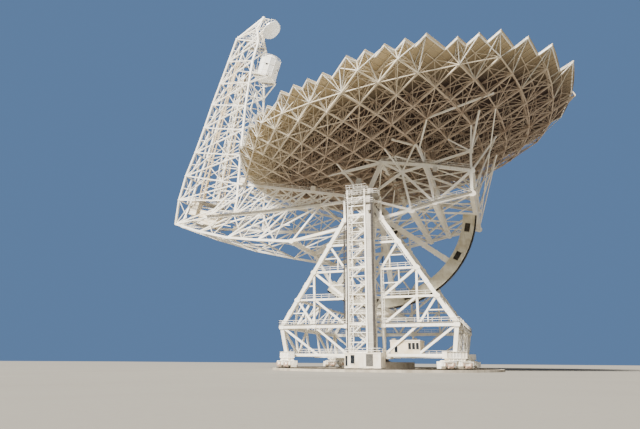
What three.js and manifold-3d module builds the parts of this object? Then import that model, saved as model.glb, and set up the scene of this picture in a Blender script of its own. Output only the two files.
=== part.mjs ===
// A fully steerable radio telescope with an off-axis dish, as a 1:10 model of the real machine.
// The ground track carries the turning A-frame base, and the dish with its feed arm tips between
// the two A-frames. X points to the high side of the dish, Y runs along the elevation axis and Z is up.
// The origin is where the azimuth axis meets the ground. All sizes here are metres of the real machine.

import * as THREE from 'three';
import { mergeVertices } from 'three/addons/utils/BufferGeometryUtils.js';
import Module from 'manifold-3d';

const wasm = await Module();
wasm.setup();

// Driving dimensions
const MODEL_MM_PER_METRE = 100;
const SEAM = 0.003;
const RUNNING_GAP = 0.003;
const SLIVER = 0.002;
const REST_TILT = THREE.MathUtils.degToRad(15.64);
const AXIS_HEIGHT = 48.3;

// Ground track and pintle
const TRACK_RADIUS = 32;
const FOUNDATION_WIDTH = 4.2;
const FOUNDATION_HEIGHT = 0.6;
const RAIL_WIDTH = 1.2;
const RAIL_HEIGHT = 0.2;
const PINTLE_BLOCK_RADIUS = 8.8;
const PINTLE_BLOCK_HEIGHT = 2.4;
const PINTLE_PIN_RADIUS = 1.1;
const PINTLE_PIN_TOP = 4.9;
const ROUND_SIDES = 16;
const PIN_SIDES = 32;

// Turning base
const WHEEL_RADIUS = 1.05;
const WHEEL_WIDTH = 0.55;
const WHEEL_CLEARANCE = 0.006;
const WHEEL_OFFSETS = [-3.9, -1.5, 1.5, 3.9];
const TRUCK_HALF = 22.63;
const CORNER_GIRDER_LENGTH = 6.3;
const CORNER_GIRDER_WIDTH = 1.6;
const CORNER_GIRDER_Z = 4.15;
const BASE_Z = 4.1;
const RING_HALF = 23.8;
const RING_Z = 11.65;
const SECOND_Z = 18.9;
const THIRD_Z = 26.5;
const FOURTH_Z = 33.9;
const FIFTH_Z = 41;
const PLATFORM_Z = 46.9;
const APEX_Z = 49.3;
const MID_X = 14.2;
const SKIRT_X = 13.4;
const POST_X = 4.9;
const BEARING_Y = 23.8;
const BEARING_LENGTH = 2.4;
const BEARING_WIDTH = 4.2;
const BEARING_BOTTOM_Z = 46.2;
const BEARING_TOP_Z = 50.4;
const SHAFT_RADIUS = 1.05;
const SHAFT_HALF_LENGTH = 25.1;

// Tipping structure, in the frame of the parent paraboloid whose vertex is its origin
const FOCAL_LENGTH = 60;
const AXIS_PARENT_X = 54.34;
const AXIS_PARENT_Z = -5;
const APERTURE_CENTRE_X = 54;
const APERTURE_RADIUS = 50;
const PANEL_THICKNESS = 0.25;
const HOOP_START = 4;
const HOOP_STEP = 6.25;
const RIB_STEP = THREE.MathUtils.degToRad(4.8);
const CELLS_PER_STEP = 2;
const BACKUP_DEPTH_RIM = 2.2;
const BACKUP_DEPTH_CENTRE = 8.2;
const BACKUP_SIDE_WEIGHT = 0.75;
const POST_EASE = 0.005;
const BOX_Y = 20;
const GEAR_RADIUS = 30;
const GEAR_DEPTH = 0.35;
const RIM_INNER_RADIUS = 26.1;
const RIM_WIDTH = 1.6;
const RIM_START = THREE.MathUtils.degToRad(12);
const RIM_END = THREE.MathUtils.degToRad(-112.4);

// Member widths
const LEG = 1.0;
const CHORD = 1.0;
const BASE_BEAM = 0.7;
const LATERAL = 1.3;
const BRACE = 0.55;
const STRONG_BRACE = 0.65;
const GIRDER_CHORD = 0.8;
const BOX_CHORD = 0.8;
const BOX_POST = 1.1;
const BOX_MEMBER = 0.62;
const RIB_CHORD = 0.45;
const BACKUP_WEB = 0.34;
const WEB = 0.42;
const ARM_CHORD = 0.75;
const ARM_BRACE = 0.45;
const MAST_CHORD = 0.65;
const MAST_BRACE = 0.4;
const GUSSET_RATIO = 1.3;
const THICKEST_PLAIN_JOINT = 0.45;
const STRAIGHT = Math.cos(THREE.MathUtils.degToRad(0.5));
const SHARPEST_MITRE = 0.7;

// Finishes
const paint = new THREE.MeshStandardMaterial({ color: '#ece8dc', roughness: 0.55, metalness: 0.1 });
const panelPaint = new THREE.MeshStandardMaterial({ color: '#e4dcc6', roughness: 0.6, metalness: 0.1 });
const bareSteel = new THREE.MeshStandardMaterial({ color: '#55524c', roughness: 0.45, metalness: 0.8 });
const concrete = new THREE.MeshStandardMaterial({ color: '#b5ab98', roughness: 0.95, metalness: 0 });

// A closed geometry as a solid that can be joined and cut
const solidOf = (geometry) => {
  const plain = geometry.clone();
  plain.deleteAttribute('normal');
  plain.deleteAttribute('uv');
  const merged = mergeVertices(plain, 1e-5);
  return new wasm.Manifold(new wasm.Mesh({
    numProp: 3,
    vertProperties: new Float32Array(merged.attributes.position.array),
    triVerts: new Uint32Array(merged.index.array),
  }));
};

// A solid as a geometry for a mesh, without the slivers that cuts leave
const geometryOf = (solid) => {
  const { vertProperties, triVerts } = solid.asOriginal().simplify(SLIVER).getMesh();
  const geometry = new THREE.BufferGeometry();
  geometry.setAttribute('position', new THREE.BufferAttribute(new Float32Array(vertProperties), 3));
  geometry.setIndex(new THREE.BufferAttribute(new Uint32Array(triVerts), 1));
  geometry.computeVertexNormals();
  return geometry;
};

const joined = (solids) => solids.reduce((whole, solid) => whole.add(solid));

// A box between two corners
const block = (low, high, grow = 0) => {
  const size = high.map((value, axis) => value - low[axis] + 2 * grow);
  const middle = high.map((value, axis) => (value + low[axis]) / 2);
  return solidOf(new THREE.BoxGeometry(...size).translate(...middle));
};

const vector = (point) => new THREE.Vector3(...point);

// The ends of a run and the points where it bends
const cornersOf = (stops) => {
  const kept = [stops[0]];
  stops.slice(1, -1).forEach((stop, index) => {
    const before = stop.clone().sub(kept.at(-1)).normalize();
    const after = stops[index + 2].clone().sub(stop).normalize();
    if (before.dot(after) < STRAIGHT) {
      kept.push(stop);
    }
  });
  return [...kept, stops.at(-1)];
};

// A square bar through all its points, mitred where it bends and grown when it cuts its neighbours
const barSolid = ({ points, width }, grow) => {
  const stops = cornersOf(points.map(vector));
  const runs = stops.slice(1).map((stop, index) => stop.clone().sub(stops[index]).normalize());
  stops[0].addScaledVector(runs[0], -grow);
  stops.at(-1).addScaledVector(runs.at(-1), grow);
  const upright = Math.abs(runs[0].z) > 0.9;
  const up = upright ? new THREE.Vector3(1, 0, 0) : new THREE.Vector3(0, 0, 1);
  const half = width / 2 + grow;
  const positions = [];
  stops.forEach((stop, index) => {
    const before = runs[index - 1] ?? runs[index];
    const after = runs[index] ?? before;
    const along = before.clone().add(after).normalize();
    const side = new THREE.Vector3().crossVectors(up, along).normalize();
    const rise = new THREE.Vector3().crossVectors(along, side);
    const inward = after.clone().sub(before).normalize();
    const stretch = 1 / Math.max(along.dot(before), SHARPEST_MITRE) - 1;
    for (const [a, b] of [[-1, -1], [1, -1], [1, 1], [-1, 1]]) {
      const offset = side.clone().multiplyScalar(a * half).addScaledVector(rise, b * half);
      offset.addScaledVector(inward, offset.dot(inward) * stretch);
      positions.push(...stop.clone().add(offset).toArray());
    }
  });
  const last = positions.length / 3 - 4;
  const indices = [0, 3, 2, 0, 2, 1, last, last + 1, last + 2, last, last + 2, last + 3];
  for (let ring = 0; ring < last; ring += 4) {
    for (let edge = 0; edge < 4; edge += 1) {
      const [here, next] = [ring + edge, ring + ((edge + 1) % 4)];
      indices.push(here, next, next + 4, here, next + 4, here + 4);
    }
  }
  return new wasm.Manifold(new wasm.Mesh({
    numProp: 3,
    vertProperties: new Float32Array(positions),
    triVerts: new Uint32Array(indices),
  }));
};

// A round bar along Y, used for shafts, pins and bores
const cylinderAlongY = (radius, fromY, toY, x, z, sides = PIN_SIDES) => {
  const geometry = new THREE.CylinderGeometry(radius, radius, toY - fromY, sides);
  return solidOf(geometry.translate(x, (fromY + toY) / 2, z));
};

const cylinderAlongZ = (radius, fromZ, toZ) => {
  const geometry = new THREE.CylinderGeometry(radius, radius, toZ - fromZ, PIN_SIDES);
  return solidOf(geometry.rotateX(Math.PI / 2).translate(0, 0, (fromZ + toZ) / 2));
};

// A bore whose flats stay clear of the corners of a turning pin
const boreRadius = (radius) => (radius + RUNNING_GAP) / Math.cos(Math.PI / PIN_SIDES);

const keyOf = (point) => point.map((value) => value.toFixed(2)).join();

// A welded frame of bars, with a gusset block where bars of one thickness end together
class Frame {
  constructor() {
    this.bars = [];
    this.blocks = [];
  }

  bar(from, to, width) {
    return this.chain([from, to], width);
  }

  chain(points, width) {
    this.bars.push({ points, width });
    return this;
  }

  block(low, high) {
    this.blocks.push([low, high]);
    return this;
  }

  gussets() {
    const ends = new Map();
    for (const { points, width } of this.bars) {
      points.forEach((point, index) => {
        const known = ends.get(keyOf(point)) ?? { point, width: 0, through: 0, count: 0 };
        const passes = index > 0 && index < points.length - 1;
        known.through = Math.max(known.through, passes ? width : 0);
        known.count = width > known.width ? 1 : known.count + (width === known.width ? 1 : 0);
        known.width = Math.max(known.width, width);
        ends.set(keyOf(point), known);
      });
    }
    return [...ends.values()].filter(({ width, through, count }) => count > 1 && through < width
      && width > THICKEST_PLAIN_JOINT);
  }

  solid(grow = 0) {
    const parts = this.bars.map((bar) => barSolid(bar, grow));
    for (const { point, width } of this.gussets()) {
      const half = (width * GUSSET_RATIO) / 2;
      parts.push(block(point.map((value) => value - half), point.map((value) => value + half), grow));
    }
    this.blocks.forEach(([low, high]) => parts.push(block(low, high, grow)));
    return joined(parts);
  }
}

// What is left of a solid beside its neighbours, without the slivers inside their joints
const clearOf = (solid, neighbours) => {
  const cut = neighbours.reduce((whole, neighbour) => whole.subtract(neighbour.solid(SEAM)), solid);
  return cut.decompose().sort((a, b) => b.volume() - a.volume())[0];
};

const model = new THREE.Group();
model.scale.setScalar(MODEL_MM_PER_METRE);

const addPiece = (group, name, solid, material) => {
  const mesh = new THREE.Mesh(geometryOf(solid), material);
  mesh.name = name;
  group.add(mesh);
};

const between = (a, b, share) => a.map((value, axis) => value + (b[axis] - value) * share);

// Points and frames mirrored in the plane of X and Z
const flipY = ([x, y, z]) => [x, -y, z];
const mirrored = (frame, flip) => {
  const copy = new Frame();
  copy.bars = frame.bars.map(({ points, width }) => ({ points: points.map(flip), width }));
  return copy;
};

// Ground track: a concrete ring, the steel rail on it and the pintle block in the middle
const ringSolid = (inner, outer, fromZ, toZ, sides) => {
  const profile = [[inner, fromZ], [outer, fromZ], [outer, toZ], [inner, toZ], [inner, fromZ]];
  const lathe = new THREE.LatheGeometry(profile.map(([r, z]) => new THREE.Vector2(r, z)), sides);
  return solidOf(lathe.rotateX(Math.PI / 2));
};

const RING_SIDES = 40;
const railTop = FOUNDATION_HEIGHT + SEAM + RAIL_HEIGHT;

const buildGround = () => {
  const half = FOUNDATION_WIDTH / 2;
  addPiece(model, 'track_foundation',
    ringSolid(TRACK_RADIUS - half, TRACK_RADIUS + half, 0, FOUNDATION_HEIGHT, RING_SIDES), concrete);
  addPiece(model, 'track_rail',
    ringSolid(TRACK_RADIUS - RAIL_WIDTH / 2, TRACK_RADIUS + RAIL_WIDTH / 2,
      FOUNDATION_HEIGHT + SEAM, railTop, RING_SIDES), bareSteel);
  addPiece(model, 'pintle_foundation', cylinderAlongZ(PINTLE_BLOCK_RADIUS, 0, PINTLE_BLOCK_HEIGHT), concrete);
  addPiece(model, 'pintle_pin',
    cylinderAlongZ(PINTLE_PIN_RADIUS, PINTLE_BLOCK_HEIGHT + SEAM, PINTLE_PIN_TOP), bareSteel);
};

// Corner trucks: four wheels in two bogies under a balance beam, set along the track
const TRUCK_BEAM_HALF = 2.6;
const TRUCK_BEAM_WIDTH = 1.6;
const BOGIE_HALF = 2.15;
const BOGIE_WIDTH = 2.2;
const BOGIE_OFFSET = 2.7;
const BOGIE_DROP = 0.35;
const BOGIE_RISE = 0.75;
const PIVOT_OFFSET = 2.1;
const PIVOT_HALF_WIDTH = 0.6;
const PIVOT_HALF_LENGTH = 0.5;
const PIVOT_GAP = 0.1;
const wheelCentre = railTop + WHEEL_CLEARANCE + WHEEL_RADIUS;
const bogieBottom = wheelCentre - BOGIE_DROP;
const bogieTop = wheelCentre + BOGIE_RISE;
const truckTop = CORNER_GIRDER_Z - CORNER_GIRDER_WIDTH / 2 - SEAM;

const truckSolid = () => {
  const parts = [block([-TRUCK_BEAM_WIDTH / 2, -TRUCK_BEAM_HALF, bogieTop + PIVOT_GAP],
    [TRUCK_BEAM_WIDTH / 2, TRUCK_BEAM_HALF, truckTop])];
  for (const side of [-1, 1]) {
    const bogie = side * BOGIE_OFFSET;
    const pivot = side * PIVOT_OFFSET;
    parts.push(block([-BOGIE_WIDTH / 2, bogie - BOGIE_HALF, bogieBottom],
      [BOGIE_WIDTH / 2, bogie + BOGIE_HALF, bogieTop]));
    parts.push(block([-PIVOT_HALF_WIDTH, pivot - PIVOT_HALF_LENGTH, bogieTop - PIVOT_GAP],
      [PIVOT_HALF_WIDTH, pivot + PIVOT_HALF_LENGTH, bogieTop + 2 * PIVOT_GAP]));
  }
  for (const along of WHEEL_OFFSETS) {
    const wheel = new THREE.CylinderGeometry(WHEEL_RADIUS, WHEEL_RADIUS, WHEEL_WIDTH, ROUND_SIDES);
    parts.push(solidOf(wheel.rotateZ(Math.PI / 2).translate(0, along, wheelCentre)));
  }
  return joined(parts);
};

const CORNERS = [['front_left', -1, -1], ['front_right', 1, -1], ['back_right', 1, 1], ['back_left', -1, 1]];

const buildTrucks = (group) => {
  for (const [place, sideX, sideY] of CORNERS) {
    const mesh = new THREE.Mesh(geometryOf(truckSolid()), paint);
    mesh.name = `truck_${place}`;
    mesh.position.set(sideX * TRUCK_HALF, sideY * TRUCK_HALF, 0);
    mesh.rotation.z = Math.atan2(sideY, sideX);
    group.add(mesh);
  }
};

// One A-frame with the skirt below its ring beam, the base beam and its corner girders under that
const legX = (z) => (RING_HALF * (APEX_Z - z)) / (APEX_Z - RING_Z);
const BEARING_SEAT_DEPTH = 1.1;
const BEARING_SEAT_MARGIN = 0.1;
const BEARING_SEAT_HALF = 1;
const cornerReach = CORNER_GIRDER_LENGTH / 2 / Math.SQRT2;

const aFrame = (y) => {
  const at = (x, z) => [x, y, z];
  const baseY = Math.sign(y) * TRUCK_HALF;
  const base = (x) => [x, baseY, BASE_Z];
  const frame = new Frame();
  const levels = [RING_Z, SECOND_Z, THIRD_Z, FOURTH_Z, FIFTH_Z, BEARING_BOTTOM_Z - LEG / 2];
  for (const side of [-1, 1]) {
    frame.chain(levels.map((z) => at(side * legX(z), z)), LEG);
    frame.bar(at(side * RING_HALF, RING_Z), base(side * TRUCK_HALF), LEG);
    frame.chain([base(side * POST_X), at(side * POST_X, RING_Z), at(side * POST_X, SECOND_Z),
      at(side * POST_X, THIRD_Z)], BRACE);
    frame.chain([at(0, FOURTH_Z), at(side * POST_X, THIRD_Z), at(0, SECOND_Z)], BRACE);
    frame.bar(at(side * POST_X, SECOND_Z), at(0, RING_Z), BRACE);
    frame.bar(at(side * legX(FIFTH_Z), FIFTH_Z), at(side * legX(FIFTH_Z), PLATFORM_Z), BRACE);
    frame.chain([at(side * MID_X, RING_Z), at(side * MID_X, SECOND_Z),
      at(side * legX(THIRD_Z), THIRD_Z)], BRACE);
    frame.bar(at(side * RING_HALF, RING_Z), base(side * SKIRT_X), BRACE);
    frame.bar(at(side * MID_X, RING_Z), base(side * POST_X), BRACE);
    frame.bar(at(side * legX(SECOND_Z), SECOND_Z), at(side * MID_X, RING_Z), BRACE);
    frame.bar(at(side * MID_X, SECOND_Z), at(side * POST_X, RING_Z), BRACE);
    frame.bar(at(side * legX(THIRD_Z), THIRD_Z), at(side * POST_X, SECOND_Z), STRONG_BRACE);
    frame.bar(at(side * legX(FOURTH_Z), FOURTH_Z), at(side * POST_X, THIRD_Z), BRACE);
    frame.chain([at(side * legX(SECOND_Z), SECOND_Z), at(side * MID_X, SECOND_Z),
      at(side * POST_X, SECOND_Z)], BRACE);
    frame.bar(at(side * legX(THIRD_Z), THIRD_Z), at(side * POST_X, THIRD_Z), BRACE);
    frame.chain([at(side * RING_HALF, RING_Z), at(side * MID_X, RING_Z), at(side * POST_X, RING_Z)], CHORD);
    frame.chain([base(side * TRUCK_HALF), base(side * SKIRT_X), base(side * POST_X)], BASE_BEAM);
    const lean = side * Math.sign(y) * cornerReach;
    frame.bar([side * TRUCK_HALF - cornerReach, baseY + lean, CORNER_GIRDER_Z],
      [side * TRUCK_HALF + cornerReach, baseY - lean, CORNER_GIRDER_Z], CORNER_GIRDER_WIDTH);
  }
  for (const z of [RING_Z, SECOND_Z]) {
    frame.chain([at(-POST_X, z), at(0, z), at(POST_X, z)], z === RING_Z ? CHORD : BRACE);
  }
  frame.bar(at(-POST_X, THIRD_Z), at(POST_X, THIRD_Z), BRACE);
  frame.chain([at(-legX(FOURTH_Z), FOURTH_Z), at(0, FOURTH_Z), at(legX(FOURTH_Z), FOURTH_Z)], BRACE);
  frame.bar(at(-legX(FIFTH_Z), FIFTH_Z), at(legX(FIFTH_Z), FIFTH_Z), BRACE);
  frame.bar(base(-POST_X), base(POST_X), BASE_BEAM);
  const seatHalf = BEARING_WIDTH / 2 + BEARING_SEAT_MARGIN;
  frame.block([-seatHalf, y - BEARING_SEAT_HALF, BEARING_BOTTOM_Z - BEARING_SEAT_DEPTH],
    [seatHalf, y + BEARING_SEAT_HALF, BEARING_BOTTOM_Z]);
  return frame;
};

// One side of the base between the A-frames: base beam, ring beam and braced panels to the second level
const sideFrame = (side) => {
  const rows = [-RING_HALF, -MID_X, -POST_X, POST_X, MID_X, RING_HALF];
  const base = (y) => [side * TRUCK_HALF, Math.max(-TRUCK_HALF, Math.min(TRUCK_HALF, y)), BASE_Z];
  const ring = (y) => [side * RING_HALF, y, RING_Z];
  const second = (y) => [side * legX(SECOND_Z), y, SECOND_Z];
  const frame = new Frame();
  frame.chain(rows.map(base), BASE_BEAM);
  frame.chain(rows.map(ring), CHORD);
  frame.chain(rows.map(second), BRACE);
  for (const y of rows.slice(1, -1)) {
    frame.bar(ring(y), second(y), BRACE);
    frame.bar(base(y), ring(y), BRACE);
  }
  for (const [ringRow, otherRow] of [[0, 1], [2, 1], [3, 4], [5, 4]]) {
    frame.bar(ring(rows[ringRow]), base(rows[otherRow]), BRACE);
    frame.bar(second(rows[ringRow]), ring(rows[otherRow]), BRACE);
  }
  return frame;
};

// Beams that tie the base to the pintle pin
const HUB_HALF = 2.2;
const HUB_HALF_HEIGHT = 0.8;

const pintleGirder = () => {
  const frame = new Frame();
  frame.bar([-TRUCK_HALF, 0, BASE_Z], [TRUCK_HALF, 0, BASE_Z], CHORD);
  frame.block([-HUB_HALF, -HUB_HALF, BASE_Z - HUB_HALF_HEIGHT],
    [HUB_HALF, HUB_HALF, BASE_Z + HUB_HALF_HEIGHT]);
  return frame;
};

const pintleStrut = (side) => new Frame().bar([0, side * TRUCK_HALF, BASE_Z], [0, 0, BASE_Z], CHORD);

// The cross girder under the gear sector and the drive gearbox on it
const DRIVE_Z = 16.2;
const DRIVE_ROWS = [-9, 0, 9];
const DRIVE_HALF_LENGTH = 2.6;
const DRIVE_HALF_WIDTH = 1.6;
const DRIVE_TOP = 17.5;

const driveGirder = () => {
  const frame = new Frame();
  for (const x of [-POST_X, POST_X]) {
    frame.chain([-RING_HALF, ...DRIVE_ROWS, RING_HALF].map((y) => [x, y, DRIVE_Z]), GIRDER_CHORD);
  }
  for (const y of DRIVE_ROWS) {
    frame.bar([-POST_X, y, DRIVE_Z], [POST_X, y, DRIVE_Z], BRACE);
  }
  return frame;
};

// The stair tower on the near side with its clad lift shaft, standing on the roof of the cabin
const CABIN_LEFT = -4.2;
const CABIN_RIGHT = 5.2;
const CABIN_FRONT = -28.4;
const CABIN_FLOOR = 0.9;
const CABIN_TOP = 4.6;
const baseFront = -TRUCK_HALF - (BASE_BEAM * GUSSET_RATIO) / 2 - SEAM;
const TOWER_LEFT = -3.2;
const TOWER_RIGHT = 1.7;
const TOWER_FRONT = -27.9;
const TOWER_BACK = -25.9;
const TOWER_TOP = 48.6;
const TOWER_RAIL = 0.3;
const LIFT_RIGHT = 3.85;
const LIFT_INSET = 0.15;
const LIFT_TOP = 47;
const towerFoot = CABIN_TOP + SEAM + TOWER_RAIL / 2;
const TOWER_LEVELS = [towerFoot, RING_Z, THIRD_Z, FIFTH_Z, TOWER_TOP];

const towerFrame = () => {
  const frame = new Frame();
  const levels = TOWER_LEVELS;
  const corners = [[TOWER_LEFT, TOWER_FRONT], [TOWER_RIGHT, TOWER_FRONT], [TOWER_RIGHT, TOWER_BACK],
    [TOWER_LEFT, TOWER_BACK]];
  corners.forEach(([x, y], index) => {
    const [nextX, nextY] = corners[(index + 1) % corners.length];
    frame.bar([x, y, levels[0]], [x, y, TOWER_TOP], WEB);
    levels.forEach((z) => frame.bar([x, y, z], [nextX, nextY, z], TOWER_RAIL));
  });
  for (const z of [RING_Z, THIRD_Z]) {
    frame.bar([TOWER_LEFT, TOWER_BACK, z], [TOWER_LEFT, -RING_HALF, z], WEB);
    frame.bar([TOWER_RIGHT, TOWER_BACK, z], [TOWER_RIGHT, -RING_HALF, z], WEB);
  }
  return frame.block([TOWER_RIGHT, TOWER_FRONT + LIFT_INSET, towerFoot],
    [LIFT_RIGHT, TOWER_BACK - LIFT_INSET, LIFT_TOP]);
};

// The equipment room behind the skirt, standing on the base beam
const ROOM_LEFT = 6.6;
const ROOM_RIGHT = 14.2;
const ROOM_FRONT = -23;
const ROOM_BACK = -15;
const ROOM_TOP = 7.7;

const bearingSolid = (y) => {
  const half = BEARING_WIDTH / 2;
  const body = block([-half, y - BEARING_LENGTH / 2, BEARING_BOTTOM_Z + SEAM],
    [half, y + BEARING_LENGTH / 2, BEARING_TOP_Z]);
  return body.subtract(cylinderAlongY(boreRadius(SHAFT_RADIUS), y - BEARING_LENGTH, y + BEARING_LENGTH,
    0, AXIS_HEIGHT));
};

const buildAlidade = () => {
  const group = new THREE.Group();
  model.add(group);
  buildTrucks(group);
  const front = aFrame(-RING_HALF);
  const back = aFrame(RING_HALF);
  const sides = [sideFrame(-1), sideFrame(1)];
  const girder = pintleGirder();
  addPiece(group, 'a_frame_front', front.solid(), paint);
  addPiece(group, 'a_frame_back', back.solid(), paint);
  addPiece(group, 'side_frame_left', clearOf(sides[0].solid(), [front, back]), paint);
  addPiece(group, 'side_frame_right', clearOf(sides[1].solid(), [front, back]), paint);
  const bore = cylinderAlongZ(boreRadius(PINTLE_PIN_RADIUS), 0, 2 * BASE_Z);
  addPiece(group, 'pintle_girder', clearOf(girder.solid(), sides).subtract(bore), paint);
  addPiece(group, 'pintle_strut_front', clearOf(pintleStrut(-1).solid(), [girder, front]), paint);
  addPiece(group, 'pintle_strut_back', clearOf(pintleStrut(1).solid(), [girder, back]), paint);
  addPiece(group, 'bearing_front', bearingSolid(-BEARING_Y), paint);
  addPiece(group, 'bearing_back', bearingSolid(BEARING_Y), paint);
  const drive = driveGirder();
  addPiece(group, 'drive_girder', clearOf(drive.solid(), [front, back]), paint);
  addPiece(group, 'elevation_drive',
    block([-DRIVE_HALF_LENGTH, -DRIVE_HALF_WIDTH, DRIVE_Z + BRACE / 2 + SEAM],
      [DRIVE_HALF_LENGTH, DRIVE_HALF_WIDTH, DRIVE_TOP]), bareSteel);
  addPiece(group, 'lift_tower', clearOf(towerFrame().solid(), [front]), paint);
  addPiece(group, 'tower_cabin',
    block([CABIN_LEFT, CABIN_FRONT, CABIN_FLOOR], [CABIN_RIGHT, baseFront, CABIN_TOP]), paint);
  addPiece(group, 'equipment_room', clearOf(block([ROOM_LEFT, ROOM_FRONT, BASE_Z + BASE_BEAM / 2 + SEAM],
    [ROOM_RIGHT, ROOM_BACK, ROOM_TOP]), [front]), paint);
};

// The dish surface and the back-up structure under it
const surfaceZ = (x, y) => (x * x + y * y) / (4 * FOCAL_LENGTH);

const polar = (radius, angle) => [radius * Math.cos(angle), radius * Math.sin(angle)];

const fromCentre = (x, y) => Math.hypot(x - APERTURE_CENTRE_X, y) / APERTURE_RADIUS;

const insideAperture = (radius, angle) => fromCentre(...polar(radius, angle)) <= 1;

const hoopRadius = (hoop) => HOOP_START + hoop * HOOP_STEP;

// Cells of the dish between two hoops and two ribs, as one closed shell with a stepped rim
const shellSector = (bandHoops, bandRibs) => {
  const hoops = bandHoops.map((hoop) => hoop * CELLS_PER_STEP);
  const ribs = bandRibs.map((rib) => rib * CELLS_PER_STEP);
  const cellRadius = (hoop) => hoopRadius(hoop / CELLS_PER_STEP);
  const cellAngle = (rib) => (rib * RIB_STEP) / CELLS_PER_STEP;
  const cells = [];
  for (let hoop = hoops[0]; hoop < hoops[1]; hoop += 1) {
    for (let rib = ribs[0]; rib < ribs[1]; rib += 1) {
      if (insideAperture(cellRadius(hoop + 0.5), cellAngle(rib + 0.5))) {
        cells.push([hoop, rib]);
      }
    }
  }
  const known = new Set(cells.map(String));
  const corners = new Map();
  const positions = [];
  const indices = [];
  const corner = (hoop, rib, below) => {
    const key = [hoop, rib, below].join();
    if (!corners.has(key)) {
      const inset = SEAM / 2;
      const radius = cellRadius(hoop) + (hoop === hoops[0] ? inset : 0) - (hoop === hoops[1] ? inset : 0);
      const [x, y] = polar(radius, cellAngle(rib));
      const shift = (rib === ribs[0] ? inset : 0) - (rib === ribs[1] ? inset : 0);
      corners.set(key, positions.length / 3);
      positions.push(x, y + shift, surfaceZ(x, y) - (below ? PANEL_THICKNESS : 0));
    }
    return corners.get(key);
  };
  const quad = (a, b, c, d) => indices.push(a, b, c, a, c, d);
  for (const [hoop, rib] of cells) {
    const ring = [[hoop, rib], [hoop + 1, rib], [hoop + 1, rib + 1], [hoop, rib + 1]];
    quad(...ring.map(([h, r]) => corner(h, r, false)));
    const under = ring.map(([h, r]) => corner(h, r, true));
    indices.push(under[0], under[2], under[1], under[0], under[3], under[2]);
    const outside = [[hoop, rib - 1], [hoop + 1, rib], [hoop, rib + 1], [hoop - 1, rib]];
    outside.forEach((neighbour, edge) => {
      if (!known.has(String(neighbour))) {
        const [from, to] = [ring[edge], ring[(edge + 1) % 4]];
        quad(corner(...to, false), corner(...from, false), corner(...from, true), corner(...to, true));
      }
    });
  }
  const geometry = new THREE.BufferGeometry();
  geometry.setAttribute('position', new THREE.BufferAttribute(new Float32Array(positions), 3));
  geometry.setIndex(indices);
  geometry.computeVertexNormals();
  return geometry;
};

// The back-up is deepest along the middle and thins out more slowly to the sides than to the ends
const backupDepth = (x, y) => {
  const reach = Math.min(1, fromCentre(x, y * BACKUP_SIDE_WEIGHT));
  return BACKUP_DEPTH_RIM + (BACKUP_DEPTH_CENTRE - BACKUP_DEPTH_RIM) * (1 - reach * reach);
};

// Where a post square to the surface meets the underside of the panels
const underPanel = (radius, angle) => {
  const [x, y] = polar(radius, angle);
  const slope = radius / (2 * FOCAL_LENGTH);
  const steepness = Math.hypot(1, slope);
  const drop = (PANEL_THICKNESS / steepness + SEAM + POST_EASE) / steepness;
  const outward = (drop * slope) / radius;
  return [x + x * outward, y + y * outward, surfaceZ(x, y) - drop];
};

const lowNode = (radius, angle) => {
  const [x, y] = polar(radius, angle);
  const slope = radius / (2 * FOCAL_LENGTH);
  const outward = (backupDepth(x, y) * slope) / (1 + slope * slope) / radius;
  return [x + x * outward, y + y * outward, surfaceZ(x, y) - backupDepth(x, y) / (1 + slope * slope)];
};

const CENTRE_RIB_ROOM = 0.36;

// Bands of hoops, each with its own rib spacing; a back-up bay is two hoops long
const BANDS = [
  { name: 'inner', hoops: [0, 6], reach: 15, ribStride: 6 },
  { name: 'middle', hoops: [6, 12], reach: 13, ribStride: 3 },
  { name: 'outer', hoops: [12, 16], reach: 9, ribStride: 3 },
];

const backupFrame = (band, side) => {
  const frame = new Frame();
  const [first, last] = band.hoops;
  const held = (hoop, rib) => insideAperture(hoopRadius(hoop), rib * RIB_STEP);
  const low = (hoop, rib) => lowNode(hoopRadius(hoop), rib * RIB_STEP);
  const ribs = [];
  for (let rib = 0; rib <= band.reach; rib += band.ribStride) {
    ribs.push(side * rib);
  }
  const hoops = [];
  for (let hoop = first; hoop <= last; hoop += 2) {
    hoops.push(hoop);
  }
  const besideCentre = (points) => {
    const [centre, next] = points;
    return [between(centre, next, CENTRE_RIB_ROOM / Math.abs(next[1])), ...points.slice(1)];
  };
  for (const rib of side > 0 ? ribs : ribs.slice(1)) {
    const run = hoops.filter((hoop) => held(hoop, rib));
    if (run.length > 1) {
      frame.chain(run.map((hoop) => low(hoop, rib)), RIB_CHORD);
      run.forEach((hoop) => frame.bar(low(hoop, rib), underPanel(hoopRadius(hoop), rib * RIB_STEP),
        BACKUP_WEB));
    }
  }
  for (const hoop of first === 0 ? hoops : hoops.slice(1)) {
    const points = ribs.filter((rib) => held(hoop, rib)).map((rib) => low(hoop, rib));
    if (points.length > 1) {
      frame.chain(side > 0 ? points : besideCentre(points), BACKUP_WEB);
    }
  }
  return frame;
};

const tipping = new THREE.Group();
const parent = new THREE.Group();

const buildDish = () => {
  const made = [];
  for (const band of BANDS) {
    for (const [place, side] of [['back', 1], ['front', -1]]) {
      const ribs = side > 0 ? [0, band.reach] : [-band.reach, 0];
      const mesh = new THREE.Mesh(shellSector(band.hoops, ribs), panelPaint);
      mesh.name = `reflector_${band.name}_${place}`;
      parent.add(mesh);
      const frame = backupFrame(band, side);
      addPiece(parent, `backup_${band.name}_${place}`, clearOf(frame.solid(), made), panelPaint);
      made.push(frame);
    }
  }
  return made;
};

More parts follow.
